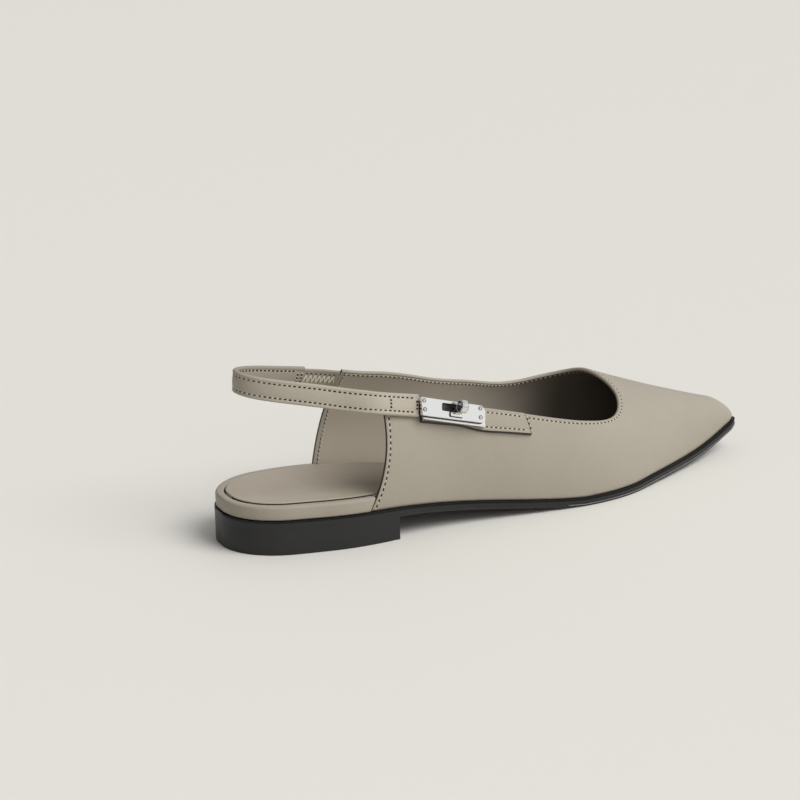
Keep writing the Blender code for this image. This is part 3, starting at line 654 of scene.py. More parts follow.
def plain(name, colour, rough, metallic=0.0, bump_scale=0.0, bump_depth=0.0, specular=0.5):
    """A plain finish with an uneven gloss and, if asked, a fine roughness of its surface."""
    made, nodes, shader = new_material(name)
    place = add(nodes, "TexCoord").outputs["Object"]
    noise = add(nodes, "TexNoise", Vector=place, Scale=bump_scale or 220.0, Detail=3.0).outputs["Fac"]
    gloss = ranged(nodes, noise, max(rough - 0.04, 0.02), rough + 0.05)
    feed(shader, Base_Color=(*colour, 1.0), Metallic=metallic, Roughness=gloss)
    feed(shader, Specular_IOR_Level=specular)
    if bump_depth:
        bump = add(nodes, "Bump", Strength=0.5, Distance=bump_depth, Height=noise)
        feed(shader, Normal=bump.outputs["Normal"])
    return made


CALF = (0.344, 0.309, 0.252), (0.322, 0.288, 0.232)
TAUPE = leather("taupe_leather", *CALF)
# The lining fades to 0.35 of its colour from x 0.105 to 0.185: painted shade inside the throat under the
# vamp.
LINING = leather(
    "taupe_lining", (0.410, 0.362, 0.292), (0.385, 0.338, 0.270),
    rough=0.52, coat=0.0, grain=0.00004, painted_shading=(0.105, 0.185, 0.35),
)
# The insole fades to 0.52 of its colour from x 0.035 to 0.085: painted shade where the lateral quarter shades
# it.
SOCK = leather(
    "taupe_sock", (0.400, 0.350, 0.284), (0.356, 0.309, 0.245),
    rough=0.5, coat=0.0, grain=0.00008, painted_shading=(0.035, 0.085, 0.52),
)
# The strap's outside grows to 1.18 of its colour from x 0.012 to 0.050: painted light on the part that faces
# the lamps.
STRAP_OUTSIDE = leather("taupe_strap", *CALF, painted_shading=(0.012, 0.050, 1.18))
STRAP_INSIDE = leather(
    "taupe_strap_lining", (0.285, 0.256, 0.208), (0.268, 0.240, 0.194), rough=0.5, coat=0.0
)
# Dark edge colour: on the cut back edges of the upper and the tab, and as painted shade in the inner fold
# line, in the insole's groove and along the tab where it meets the quarter.
DARK_EDGE_AND_SHADE = plain("dark_cut_edge_and_painted_shade", (0.036, 0.027, 0.019), 0.6)
THREAD = plain("taupe_thread", (0.520, 0.475, 0.390), 0.55)
PALE_THREAD = plain("pale_thread", (0.680, 0.630, 0.530), 0.5)
# Near-black marks between the threads: painted shade of the needle holes.
HOLE = plain("needle_hole", (0.016, 0.011, 0.008), 0.8)
SOLE_BLACK = plain(
    "black_sole_edge", (0.024, 0.024, 0.024), 0.36, bump_scale=900.0, bump_depth=0.00003, specular=0.25
)
# Near-black with no sheen: painted shadow in the gap under the upper along the sole's top edge.
FEATHER_SHADE_BLACK = plain("painted_feather_shadow", (0.003, 0.003, 0.003), 0.85)
# Light grey on the tread's ledge: painted highlight where the rounded edge catches light.
LEDGE_HIGHLIGHT_GREY = plain("painted_ledge_highlight", (0.200, 0.197, 0.190), 0.35)
METAL = plain("polished_nickel", (0.81, 0.81, 0.80), 0.13, metallic=1.0)
# Dark nickel: painted shade in and round the lock, and painted dark reflection on the knob.
NICKEL_SHADE_AND_REFLECTION = plain("dark_nickel_painted_shade_and_reflection", (0.10, 0.09, 0.085), 0.25, metallic=1.0)
ELASTIC = plain("taupe_elastic", (0.27, 0.24, 0.19), 0.75, bump_scale=2600.0, bump_depth=0.00012)


# Upper

RIM_ROUND = 0.95 * MM
TUCK = 0.35 * MM
TUCK_REACH = 0.9 * MM
FOLD_TOP = 1.1 * MM
FOLD_BACK = 2.1 * MM
FOLD_DEPTH = 0.25 * MM
FOLD_HALF_WIDTH = 0.24 * MM
FOLD_SHADE_HALF_WIDTH = 0.16 * MM
CUT_PAINT = 0.34 * MM


def groove(distance, centre, half_width, depth):
    return -depth * np.exp(-(((distance - centre) / half_width) ** 2))


def build_upper():
    grid, from_top, from_back, share = upper_grid()
    crest = np.broadcast_to(LAST["crest_y"](grid[..., 0]), grid.shape[:2])
    middle = np.stack([grid[..., 0], crest, grid[..., 2] * 0.3], -1)
    normal = grid_normals(grid, grid - middle)
    edge = np.minimum(from_top, from_back)
    rounding = WALL / 2 * (1 - np.sqrt(1 - np.clip(1 - edge / RIM_ROUND, 0.0, 1.0) ** 2))
    from_foot = from_top.max(axis=1, keepdims=True) - from_top
    tuck = TUCK * np.clip(1 - from_foot / TUCK_REACH, 0.0, 1.0) ** 2
    seam = groove(edge, STITCH_INSET, SEAM_HALF_WIDTH, SEAM_DEPTH)
    outer = grid + normal * (seam - rounding - tuck)[..., None]
    fold = groove(from_top, FOLD_TOP, FOLD_HALF_WIDTH, FOLD_DEPTH)
    fold = fold + groove(from_back, FOLD_BACK, FOLD_HALF_WIDTH, FOLD_DEPTH)
    inner = grid - normal * (WALL + np.clip(fold, -FOLD_DEPTH, 0.0) - rounding)[..., None]
    columns, rows = edge.shape
    points = np.vstack([outer.reshape(-1, 3), inner.reshape(-1, 3)])
    cell_top = (from_top[:-1, :-1] + from_top[1:, 1:]) / 2
    cell_back = (from_back[:-1, :-1] + from_back[1:, 1:]) / 2
    lined = (cell_top > FOLD_TOP) & (cell_back > FOLD_BACK)
    # Faces within CUT_PAINT of the back edges are dark cut edges; faces along the inner fold line are dark as
    # painted shade in the fold.
    fold_shade = (np.abs(cell_back - FOLD_BACK) < FOLD_SHADE_HALF_WIDTH) & (cell_top > FOLD_TOP)
    outer_slots = np.where(cell_back < CUT_PAINT, 2, 0)
    inner_slots = np.where((cell_back < CUT_PAINT) | fold_shade, 2, lined.astype(int))
    slots = outer_slots.reshape(-1).tolist() + inner_slots.reshape(-1).tolist()
    base = columns * rows
    foot = [i * rows + rows - 1 for i in range(columns)]
    faces = quads(columns, rows) + quads(columns, rows, offset=base)
    faces += [(a, b, b + base, a + base) for a, b in zip(foot, foot[1:])]
    slots += [1] * (columns - 1)
    looks = [TAUPE, LINING, DARK_EDGE_AND_SHADE]
    piece = new_piece("upper_leather", points, faces, looks, face_slots=slots)
    ride_for(tidy_normals(piece, weld=1e-6), "taupe_leather", "upper")
    return outer, inner, normal, from_top, from_back, share


# Stitches are stamped along lines of points with their outward directions


def resample(points, outs, pitch):
    """Evenly spaced places along a line, with directions along and outward."""
    s = path_length(points)
    count = max(int(round(s[-1] / pitch)), 1)
    at = (np.arange(count) + 0.5) * s[-1] / count
    out = unit(on_line(at, s, outs))
    step = pitch * 0.2
    ahead = on_line(at + step, s, points) - on_line(at - step, s, points)
    ahead = unit(ahead - out * np.sum(ahead * out, axis=-1, keepdims=True))
    return on_line(at, s, points), ahead, out


def bead(half_length, half_width, half_height, rings=5, sides=6):
    """A small round-ended body: points along, across and out, with its faces."""
    points = []
    for t in (-1 + 2 * i / (rings - 1) for i in range(rings)):
        swell = math.sqrt(max(1 - abs(t) ** 3, 0.06))
        for turn in (2 * math.pi * k / sides for k in range(sides)):
            across, out = math.cos(turn) * half_width, math.sin(turn) * half_height
            points.append((t * half_length, across * swell, out * swell))
    faces = quads(rings, sides, closed=True)
    faces.append(tuple(range(sides))[::-1])
    faces.append(tuple(range((rings - 1) * sides, rings * sides)))
    return np.array(points), faces


class Stamps:
    """Collects copies of small bodies into one mesh."""

    def __init__(self, name, material):
        self.name, self.material = name, material
        self.points, self.faces, self.count = [], [], 0

    def put(self, shape, place, ahead, out, lift=0.0, turn=0.0):
        points, faces = shape
        across = np.cross(out, ahead)
        turned = ahead * math.cos(turn) + across * math.sin(turn)
        aside = across * math.cos(turn) - ahead * math.sin(turn)
        for p, t, b, n in zip(place, turned, aside, out):
            self.points.append(p + n * lift + points[:, :1] * t + points[:, 1:2] * b + points[:, 2:] * n)
            self.faces += [tuple(k + self.count for k in face) for face in faces]
            self.count += len(points)

    def finish(self, slot):
        piece = new_piece(self.name, np.vstack(self.points), self.faces, [self.material])
        return ride_for(tidy_normals(piece, 60.0), slot)


THREADS = Stamps("stitch_threads", THREAD)
HOLES = Stamps("stitch_holes", HOLE)


def sew(points, outs, pitch, slant=0.10, length=0.50, hole=HOLE_HALF_WIDTH):
    """A row of stitches: a thread on each pitch and a needle hole between two threads."""
    place, ahead, out = resample(points, outs, pitch)
    half = pitch * length / 2
    THREADS.put(bead(half, THREAD_HALF_WIDTH, 0.18 * MM), place, ahead, out, lift=0.04 * MM, turn=slant)
    between = (place[:-1] + place[1:]) / 2
    hole_half = pitch * (1 - length) / 2 + 0.05 * MM
    HOLES.put(bead(hole_half, hole, 0.14 * MM, 4, 6), between, ahead[:-1], out[:-1], turn=slant)


def overcast(points, outs, pitch, half, slant):
    """A row of slanted threads over the edge of the lining."""
    place, ahead, out = resample(points, outs, pitch)
    THREADS.put(bead(half, 0.2 * MM, 0.16 * MM), place, ahead, out, lift=0.05 * MM, turn=slant)


ANCHOR_X = 0.0745


def line_down(surface, from_top, distance):
    """For each column the point of a surface at a distance below the topline."""
    return np.array([on_line(distance, at, column) for column, at in zip(surface, from_top)])


def sew_upper(outer, inner, normal, from_top, from_back, share):
    line = line_down(outer, from_top, STITCH_INSET)
    outs = unit(line_down(normal, from_top, STITCH_INSET))
    back = line_down(from_back[..., None], from_top, STITCH_INSET)[:, 0]
    tab_end = TAB_END + 0.6 * MM
    keep = (back > STITCH_INSET) & ((share > 0) | (line[:, 0] > tab_end))
    sew(line[keep], outs[keep], STITCH_PITCH)
    line = line_down(inner, from_top, STITCH_INSET)
    keep = back > STITCH_INSET
    sew(line[keep], -outs[keep], STITCH_PITCH)
    middle = len(outer) // 2
    rows = outer.shape[1]
    for side, columns in ((LATERAL, slice(0, middle)), (MEDIAL, slice(middle, None))):
        for surface, sign, inset in ((outer, 1.0, STITCH_INSET), (inner, -1.0, FOLD_BACK + 0.35 * MM)):
            points, outs = [], []
            for j in range(rows):
                at = from_back[columns, j]
                values = surface[columns, j]
                directions = normal[columns, j] * sign
                if side > 0:
                    at, values, directions = at[::-1], values[::-1], directions[::-1]
                points.append(on_line(inset, at, values))
                outs.append(on_line(inset, at, directions))
            points, outs = np.array(points), unit(np.array(outs))
            keep = from_top[0 if side < 0 else -1] > inset
            if sign > 0:
                sew(points[keep], outs[keep], BACK_STITCH_PITCH, length=0.44, hole=STRAP_HOLE)
            else:
                overcast(points[keep], outs[keep], 1.8 * MM, 0.85 * MM, 0.75)
    column = middle + int(np.argmin(np.abs(outer[middle:, 0, 0] - ANCHOR_X)))
    reach = (from_top[column] > 3.2 * MM) & (from_top[column] < 13.5 * MM)
    overcast(inner[column][reach], -normal[column][reach], 2.0 * MM, 0.6 * MM, 0.0)


# Sole, heel, footbed and insole are lofted in layers, a ring at each place along the shoe

UNDER_SHARES = (0.25, 0.5, 0.75)
LAYER_STEP = 1.6 * MM
END_STEP = 0.12 * MM
END_REACH = 0.03


def layer_x(s, inset):
    """The place of a line that is set in from the edge: it starts and ends inside the outer one."""
    at_heel = np.clip(1 - s / HEEL_BLEND, 0.0, 1.0)
    at_toe = np.clip(1 - (LENGTH - s) / TOE_BLEND, 0.0, 1.0)
    return s + inset * (at_heel - at_toe)


def layer_ring(s, profile, across, shift=None):
    """One ring round a sole-like layer: profile lists (inset, height function) from the underside's
    edge up to the top's edge, and across lists (share of the breadth, height function) over the top."""
    sides = []
    for side in (LATERAL, MEDIAL):
        line = []
        for k, (inset, height) in enumerate(profile):
            if callable(inset):
                inset = float(inset(s))
            x = float(layer_x(s, inset))
            if shift:
                x += shift(side, x, k)
            line.append((x, float(edge_y(x, side, inset)), float(height(x))))
        sides.append(np.array(line))
    lateral, medial = sides
    ring = [medial[0] + (lateral[0] - medial[0]) * share for share in UNDER_SHARES] + list(lateral)
    for share, height in across:
        point = lateral[-1] + (medial[-1] - lateral[-1]) * share
        point[2] = float(height(point[0]))
        ring.append(point)
    return ring + list(medial[::-1])


def layer_cap(lines):
    """Closes a layer's end by strips from side to side, one for each step of its profile."""
    under = len(UNDER_SHARES)

    def strips(end):
        lateral, medial = end[under : under + lines], end[::-1][:lines]
        over = end[under + lines : len(end) - lines]
        faces = []
        for k in range(lines - 1):
            face = [lateral[k], lateral[k + 1]]
            if k == lines - 2:
                face += over
            face += [medial[k + 1], medial[k]]
            if k == 0:
                face += end[:under]
            faces.append(face)
        return faces

    return strips


def along_shoe(start, end, step=LAYER_STEP, round_end=False):
    """Places along the shoe, finer at the round heel and, if asked, at the toe."""

    def step_at(s):
        from_end = np.minimum(s, end - start - s) if round_end else s
        return END_STEP + (step - END_STEP) * smoothstep(from_end / END_REACH)

    return start + graded(end - start, step_at)


def rounded_profile(low, high, inset, round_low, round_high, steps=4):
    """(inset, height function) lines of an upright side with rounded edges."""
    turns = [math.pi / 2 * k / steps for k in range(steps + 1)]
    lines = [(inset + round_low * (1 - math.sin(t)), round_low * (1 - math.cos(t)), low) for t in turns]
    lines += [(inset + round_high * (1 - math.cos(t)), -round_high * (1 - math.sin(t)), high) for t in turns]
    return [(i, lambda x, rise=rise, base=base: base(x) + rise) for i, rise, base in lines]


def ahead_of_heel(x):
    """0 over the heel block and 1 in front of it."""
    return smoothstep((x - HEEL_BREAST - 1.0 * MM) / (9 * MM))


# The sole's side over the rounded tread edge, inset and height in millimetres
SOLE_SIDE = (
    (0.0, 0.85),
    (0.04, 0.98),
    (0.14, 1.06),
    (0.30, 1.12),
    (0.34, 1.25),
    (0.30, 1.6),
    (0.16, 2.3),
    (0.10, 2.8),
    (0.16, 3.1),
    (0.32, 3.3),
)
TREAD_ROUND = 0.5 * MM
SOLE_TOP_INSET = 0.6 * MM
# Top steps of the sole's side take the near-black: painted shadow under the upper.
FEATHER_SHADE_STEPS = (12, 13, 14)
LEDGE_STEPS = (5, 6)
LEDGE_SHOWS_FROM = 0.150
HEEL_IN_SOLE = 0.45 * MM


def sole_side():
    """The sole's side: a rounded tread edge, a ledge over it, a set-in upper part and its top edge."""
    turns = [math.pi / 2 * k / 4 for k in range(5)]
    lines = [(TREAD_ROUND * (1 - math.sin(t)), TREAD_ROUND * (1 - math.cos(t))) for t in turns]
    lines += in_mm(SOLE_SIDE)
    lines.append((SOLE_TOP_INSET, SOLE_THICK))

    def line(inset, rise):
        return lambda x: inset * ahead_of_heel(x), lambda x: underside(x) + rise

    return [line(*values) for values in lines]


def paint_side(piece, size, steps, slot, rings):
    """Gives steps of a layer's side, counted up from its underside, another material."""
    under = len(UNDER_SHARES)
    chosen = {under + k for k in steps} | {size - 2 - k for k in steps}
    for number, face in enumerate(piece.data.polygons):
        ring, step = divmod(number, size)
        if ring in rings and step in chosen:
            face.material_index = slot


def layer(name, places, profile, across, looks):
    """A sole-like layer over places along the shoe, and the number of points in its rings."""
    rings = [layer_ring(s, profile, across) for s in places]
    return loft(name, rings, looks, cap=layer_cap(len(profile))), len(rings[0])


def heel_top(x):
    return underside(x) + HEEL_IN_SOLE


def build_sole():
    across = [(share, sole_top) for share in UNDER_SHARES]
    places = along_shoe(END_FLAT, LENGTH - END_FLAT, round_end=True)
    looks = [SOLE_BLACK, FEATHER_SHADE_BLACK, LEDGE_HIGHLIGHT_GREY]
    piece, size = layer("outsole_black", places, sole_side(), across, looks)
    paint_side(piece, size, FEATHER_SHADE_STEPS, 1, range(len(places) - 1))
    # From x 0.150 to the toe the ledge steps take the light grey: painted highlight along the tread's edge.
    ledge = [k for k, s in enumerate(places[:-1]) if s > LEDGE_SHOWS_FROM]
    paint_side(piece, size, LEDGE_STEPS, 2, ledge)
    ride_for(piece, "black_sole", "outsole")
    profile = rounded_profile(lambda x: 0.0, heel_top, 0.02 * MM, 0.35 * MM, 0.02 * MM, 3)
    across = [(share, heel_top) for share in UNDER_SHARES]
    piece, _ = layer("heel_black", along_shoe(END_FLAT, HEEL_BREAST), profile, across, [SOLE_BLACK])
    ride_for(piece, "black_sole", "heel_block")


def thinning(x):
    """0 under the open heel and 1 inside the upper, where the footbed is thin."""
    return smoothstep((x - FOOTBED_THINS_FROM) / (FOOTBED_THINS_TO - FOOTBED_THINS_FROM))


def footbed_top(x):
    return feather_z(x) + FOOTBED_THICK + (FOOTBED_FRONT_THICK - FOOTBED_THICK) * thinning(x)


def recess_floor(x):
    return footbed_top(x) - RECESS * (1 - 0.8 * thinning(x))


def back_edge_x(side, above):
    """Where the quarter's back edge stands at a height above its foot."""
    start, end, end_y = (TOPLINE_LATERAL if side < 0 else TOPLINE_MEDIAL)[0]
    sweep = BACK_EDGE_SWEEP_LATERAL if side < 0 else BACK_EDGE_SWEEP_MEDIAL
    phi_top = float(phi_at_plan(end, end_y)[1])
    v = float(phi_at_height(start, feather_z(start) + above)) / phi_top
    return start + (end - start) * (1 - (1 - v) ** sweep)


# Lines of the footbed's side and of its rim, inset in millimetres and share of the height
FOOTBED_SIDE = ((1.0, 0.0), (0.35, 0.035), (0.08, 0.09), (0.0, 0.16), (0.0, 0.45))
FOOTBED_RIM = ((1.1, 1.0), (0.5, 0.985), (0.15, 0.93))


def footbed_profile(open_heel):
    """The footbed's side, up over the rounded rand and down into the insole's groove."""
    side_inset = RAND_INSET if open_heel else FEATHER_INSET + WALL + GAP
    rim_inset = RAND_INSET + RIM_WIDTH
    lines = [(side_inset + inset * MM, share) for inset, share in FOOTBED_SIDE]
    for turn in (math.pi / 2 * k / 6 for k in range(7)):
        fall = RAND_ROUND / FOOTBED_THICK * (1 - math.sin(turn))
        lines.append((side_inset + RAND_ROUND * (1 - math.cos(turn)), 1 - fall))
    lines += [(rim_inset - inset * MM, share) for inset, share in FOOTBED_RIM]

    def height(share):
        return lambda x: feather_z(x) + (footbed_top(x) - feather_z(x)) * share

    profile = [(inset, height(share)) for inset, share in lines]
    profile.append((rim_inset, lambda x: recess_floor(x) - 0.1 * MM))
    return profile, [share * FOOTBED_THICK for _, share in lines] + [FOOTBED_THICK]


def build_footbed():
    _, heights = footbed_profile(True)
    edge = {}
    for side in (LATERAL, MEDIAL):
        for k, height in enumerate(heights):
            edge[side, k] = back_edge_x(side, height) - RAND_GAP

    def follow_back_edge(side, x, k):
        near = 1 - smoothstep((abs(x - RAND_STEP) - RAND_STEP_HALF) / RAND_STEP_REACH)
        return (edge[side, k] - RAND_STEP) * near

    heel = along_shoe(END_FLAT, RAND_STEP - RAND_STEP_HALF, 1.5 * MM)
    front = np.concatenate([[RAND_STEP + RAND_STEP_HALF], np.linspace(0.0585, FOOTBED_END, 70)])
    rings = []
    for places, open_heel in ((heel, True), (front, False)):
        profile, _ = footbed_profile(open_heel)
        across = [(share, recess_floor) for share in UNDER_SHARES]
        rings += [layer_ring(s, profile, across, follow_back_edge) for s in places]
    piece = loft("rand_leather", rings, [TAUPE], cap=layer_cap(len(profile)))
    ride_for(piece, "taupe_leather", "footbed")


# Steps of the insole's side down into its groove take the dark edge colour: painted shade in the groove
# between insole and rand.
GROOVE_SHADE_STEPS = (5, 6, 7)


def build_insole():
    inset = RAND_INSET + RIM_WIDTH + 0.35 * MM

    def low(x):
        return recess_floor(x) + 0.2 * MM

    def top(x):
        return recess_floor(x) + GAP + INSOLE_THICK

    def dished(share):
        def height(x):
            fade = (1 - smoothstep((x - DISH_END) / DISH_FADE)) * smoothstep(x / DISH_START)
            return top(x) - share * INSOLE_DISH * fade

        return height

    profile = rounded_profile(low, top, inset, 0.05 * MM, 0.8 * MM, 5)
    shares = np.linspace(0.03, 0.97, 23)
    across = [(share, dished(math.sin(math.pi * share) ** 0.8)) for share in shares]
    places = along_shoe(END_FLAT, INSOLE_END)
    piece, size = layer("insole_leather", places, profile, across, [SOCK, DARK_EDGE_AND_SHADE])
    paint_side(piece, size, GROOVE_SHADE_STEPS, 1, range(len(places) - 1))
    ride_for(piece, "taupe_lining", "insole")


# Strap and stretch piece


def strap_height(x):
    """Height of the strap's middle line."""
    return STRAP_TOP_BACK + STRAP_SLOPE * x - STRAP_WIDTH / 2


def quarter_place(x, z, side, out):
    """A place over the quarter, out from its surface, with the lean of the wall in degrees."""
    phi = phi_at_height(x, z)
    normal = skin_normal(np.float64(x), side, phi)
    place = skin(np.float64(x), side, phi) + normal * out
    return (*place, math.degrees(math.asin(normal[2])))


def strap_places():
    """Middle line of the strap with its lean, from the tab round the heel to the stretch piece."""
    out = GAP + STRAP_THICK / 2
    places = [quarter_place(x, strap_height(x), LATERAL, out) for x in STRAP_ON_QUARTER]
    places += [(x, y, strap_height(x), lean) for x, y, lean in STRAP_ROWS]
    return np.array(places)


def elastic_places():
    """Middle line of the stretch piece, and the function that ends it along the quarter's edge."""
    last, before = STRAP_ROWS[-1], STRAP_ROWS[-2]
    run = np.array([last[0] - before[0], last[1] - before[1]])
    start = np.array(last[:2]) - run / np.linalg.norm(run) * ELASTIC_TUCKED
    foot = feather_z(TOPLINE_MEDIAL[0][0])
    end_x = back_edge_x(MEDIAL, strap_height(TOPLINE_MEDIAL[0][1]) - foot) + ELASTIC_TUCKED
    end = quarter_place(end_x, strap_height(end_x), MEDIAL, -WALL / 2)
    middle = [(start[k] + end[k]) / 2 for k in (0, 1)]
    places = np.array([
        (*start, strap_height(start[0]), last[2]),
        (*middle, strap_height(middle[0]), (last[2] + end[3]) / 2),
        end,
    ])

    def to_back_edge(point):
        return np.array([back_edge_x(MEDIAL, point[2] - foot) + ELASTIC_TUCKED, point[1], point[2]])

    return places, to_back_edge


class Band:
    """A strip along places (x, y, z, lean) that runs clockwise round the heel, seen from above."""

    def __init__(self, places):
        steps = path_length(places[:, :3])
        self.length = steps[-1]
        self.curves = [spline(steps, places[:, k]) for k in range(4)]

    def frames(self, at):
        middle = np.stack([curve(at) for curve in self.curves[:3]], -1)
        ahead = unit(np.stack([curve(at + 1e-4) - curve(at - 1e-4) for curve in self.curves[:3]], -1))
        level = unit(np.cross([0.0, 0.0, 1.0], ahead))
        upright = np.cross(ahead, level)
        lean = np.radians(self.curves[3](at))[..., None]
        outward = np.cos(lean) * level + np.sin(lean) * upright
        across = np.cos(lean) * upright - np.sin(lean) * level
        return middle, ahead, outward, across

    def surface(self, at, out, up):
        middle, _, outward, across = self.frames(at)
        return middle + outward * np.asarray(out)[..., None] + across * np.asarray(up)[..., None]

    def outs(self, at):
        return self.frames(at)[2]


def band_half_thickness(up, shape, seams=(), pillow=0.0):
    """Half the band's thickness at a height across it: rounded rims, sewn seams, a soft pillow."""
    width, thick, rim = shape
    from_edge = np.clip(width / 2 - np.abs(up), 0.0, None)
    round_off = np.sqrt(np.clip(1 - (1 - np.clip(from_edge / rim, 0.0, 1.0)) ** 2, 0.0, 1.0))
    half = thick / 2 * (0.12 + 0.88 * round_off)
    for seam in seams:
        half = half + groove(up, seam, SEAM_HALF_WIDTH * 0.9, SEAM_DEPTH * 1.3)
    return half + pillow * np.clip(1 - (up / (width * 0.28)) ** 2, 0.0, 1.0) ** 2


BAND_ROWS = 30


def band_mesh(name, band, shape, looks, segments, seams=(), pillow=0.0, end_shift=None):
    """A band of a shape (width, thickness, rim), its inner side in the last of its looks."""
    width = shape[0]
    turn = np.linspace(0.0, math.pi, BAND_ROWS)
    up = width / 2 * np.cos(turn) * (1 + 0.12 * np.sin(turn) ** 2)
    up = np.clip(up, -width / 2, width / 2)
    half = band_half_thickness(up, shape, seams, pillow)
    rings = []
    for k, s in enumerate(np.linspace(0.0, band.length, segments + 1)):
        s = np.full(len(up), s)
        outer = band.surface(s, half, up)
        inner = band.surface(s[1:-1], -half[1:-1], up[1:-1])
        ring = np.vstack([outer, inner[::-1]])
        if end_shift and k == segments:
            ring = np.array([end_shift(point) for point in ring])
        rings.append(ring)
    piece = loft(name, rings, looks, angle=50.0)
    for number, face in enumerate(piece.data.polygons):
        if number < segments * len(ring) and number % len(ring) >= BAND_ROWS:
            face.material_index = len(looks) - 1
    return piece


STRAP_SHAPE = (STRAP_WIDTH, STRAP_THICK, 0.75 * MM)
STRAP_PILLOW = 0.10 * MM
STRAP_SEAM = STRAP_WIDTH / 2 - STITCH_INSET
CROSS_PITCH = 1.7 * MM
CROSS_ROWS_FROM_START = (0.8 * MM, 13.6 * MM)
CROSS_ROWS_FROM_END = (1.2 * MM, 3.3 * MM)


def build_strap():
    band = Band(strap_places())
    seams = (STRAP_SEAM, -STRAP_SEAM)
    looks = [STRAP_OUTSIDE, STRAP_INSIDE]
    piece = band_mesh("strap_leather", band, STRAP_SHAPE, looks, 230, seams, STRAP_PILLOW)
    ride_for(piece, "taupe_leather", "heel_strap")

    def sew_both_sides(at, up, seams, pitch):
        half = band_half_thickness(up, STRAP_SHAPE, seams, STRAP_PILLOW)
        for sign in (1.0, -1.0):
            line, outs = band.surface(at, half * sign, up), band.outs(at) * sign
            sew(line, outs, pitch, length=0.38, hole=STRAP_HOLE)

    at = np.linspace(1.0 * MM, band.length - 3.6 * MM, 500)
    for up in seams:
        sew_both_sides(at, np.full(len(at), up), seams, STITCH_PITCH)
    up = np.linspace(-STRAP_SEAM, STRAP_SEAM, 30)
    for s in (*CROSS_ROWS_FROM_START, *(band.length - s for s in CROSS_ROWS_FROM_END)):
        sew_both_sides(np.full(len(up), s), up, (), CROSS_PITCH)


ELASTIC_SHAPE = (ELASTIC_WIDTH, ELASTIC_THICK, 0.5 * MM)
ZIGZAG_PITCH = 2.5 * MM
ZIGZAG_HIGH = 1.6 * MM
ZIGZAG_LOW = -2.2 * MM


def build_elastic():
    places, to_back_edge = elastic_places()
    band = Band(places)
    piece = band_mesh("elastic_band", band, ELASTIC_SHAPE, [ELASTIC], 60, end_shift=to_back_edge)
    ride_for(piece, "taupe_elastic", "elastic")
    zigzag = Stamps("elastic_zigzag", PALE_THREAD)
    first = ELASTIC_TUCKED + 0.5 * MM
    count = int((band.length - 2 * first) / ZIGZAG_PITCH)

    def spot(s, up, sign):
        return band.surface(np.array([s]), np.array([ELASTIC_THICK / 2 * sign]), np.array([up]))[0]

    for sign in (1.0, -1.0):
        for k in range(count):
            s = first + k * ZIGZAG_PITCH
            middle = s + ZIGZAG_PITCH / 2
            corners = (s, ZIGZAG_LOW), (middle, ZIGZAG_HIGH), (s + ZIGZAG_PITCH, ZIGZAG_LOW)
            for a, b in zip(corners, corners[1:]):
                ends = [spot(*corner, sign) for corner in (a, b)]
                out = band.outs(np.array([(a[0] + b[0]) / 2])) * sign
                ahead = unit((ends[1] - ends[0])[None])
                shape = bead(np.linalg.norm(ends[1] - ends[0]) / 2, 0.28 * MM, 0.32 * MM)
                zigzag.put(shape, ((ends[0] + ends[1]) / 2)[None], ahead, out, lift=0.05 * MM)
            top = spot(middle, ZIGZAG_HIGH + 0.35 * MM, sign)[None]
            ahead = band.frames(np.array([middle]))[1]
            HOLES.put(bead(0.5 * MM, 0.45 * MM, 0.14 * MM, 4, 6), top, ahead, band.outs(np.array([s])) * sign)
    zigzag.finish("taupe_elastic")


# Tab


def tab_place(share, down, out):
    """A place over the tab: share along it, down from its top edge, out from the quarter."""
    end = TAB_END + TAB_END_LEAN * down
    x = TAB_START + (end - TAB_START) * share
    _, phi_top = phi_at_plan(x, LATERAL_TOP(x))
    top_z = skin(np.asarray(x, float), LATERAL, phi_top)[..., 2] - TAB_DROP
    phi = phi_at_height(x, top_z - TAB["height"](x) * down)
    return skin(x, LATERAL, phi) + skin_normal(x, LATERAL, phi) * np.asarray(out)[..., None]


TAB_SEAM = 0.19
TAB_TOP_LINES = (0.0, 0.0, 0.004, 0.015, 0.035)
TAB_TOP_RISE = (0.0, 0.5, 0.8, 0.95, 1.0)
TAB_LOW_LINES = (0.955, 0.975, 0.988, 1.0, 1.02, 1.04)
TAB_LOW_RISE = (1.0, 0.97, 0.88, 0.7, 0.3, 0.0)
TAB_FACE_LINES = 40


def sew_tab(share, down, out):
    """A row of stitches along a line over the tab."""
    points = tab_place(share, down, out)
    sew(points, unit(tab_place(share, down, out + 1 * MM) - points), STITCH_PITCH)


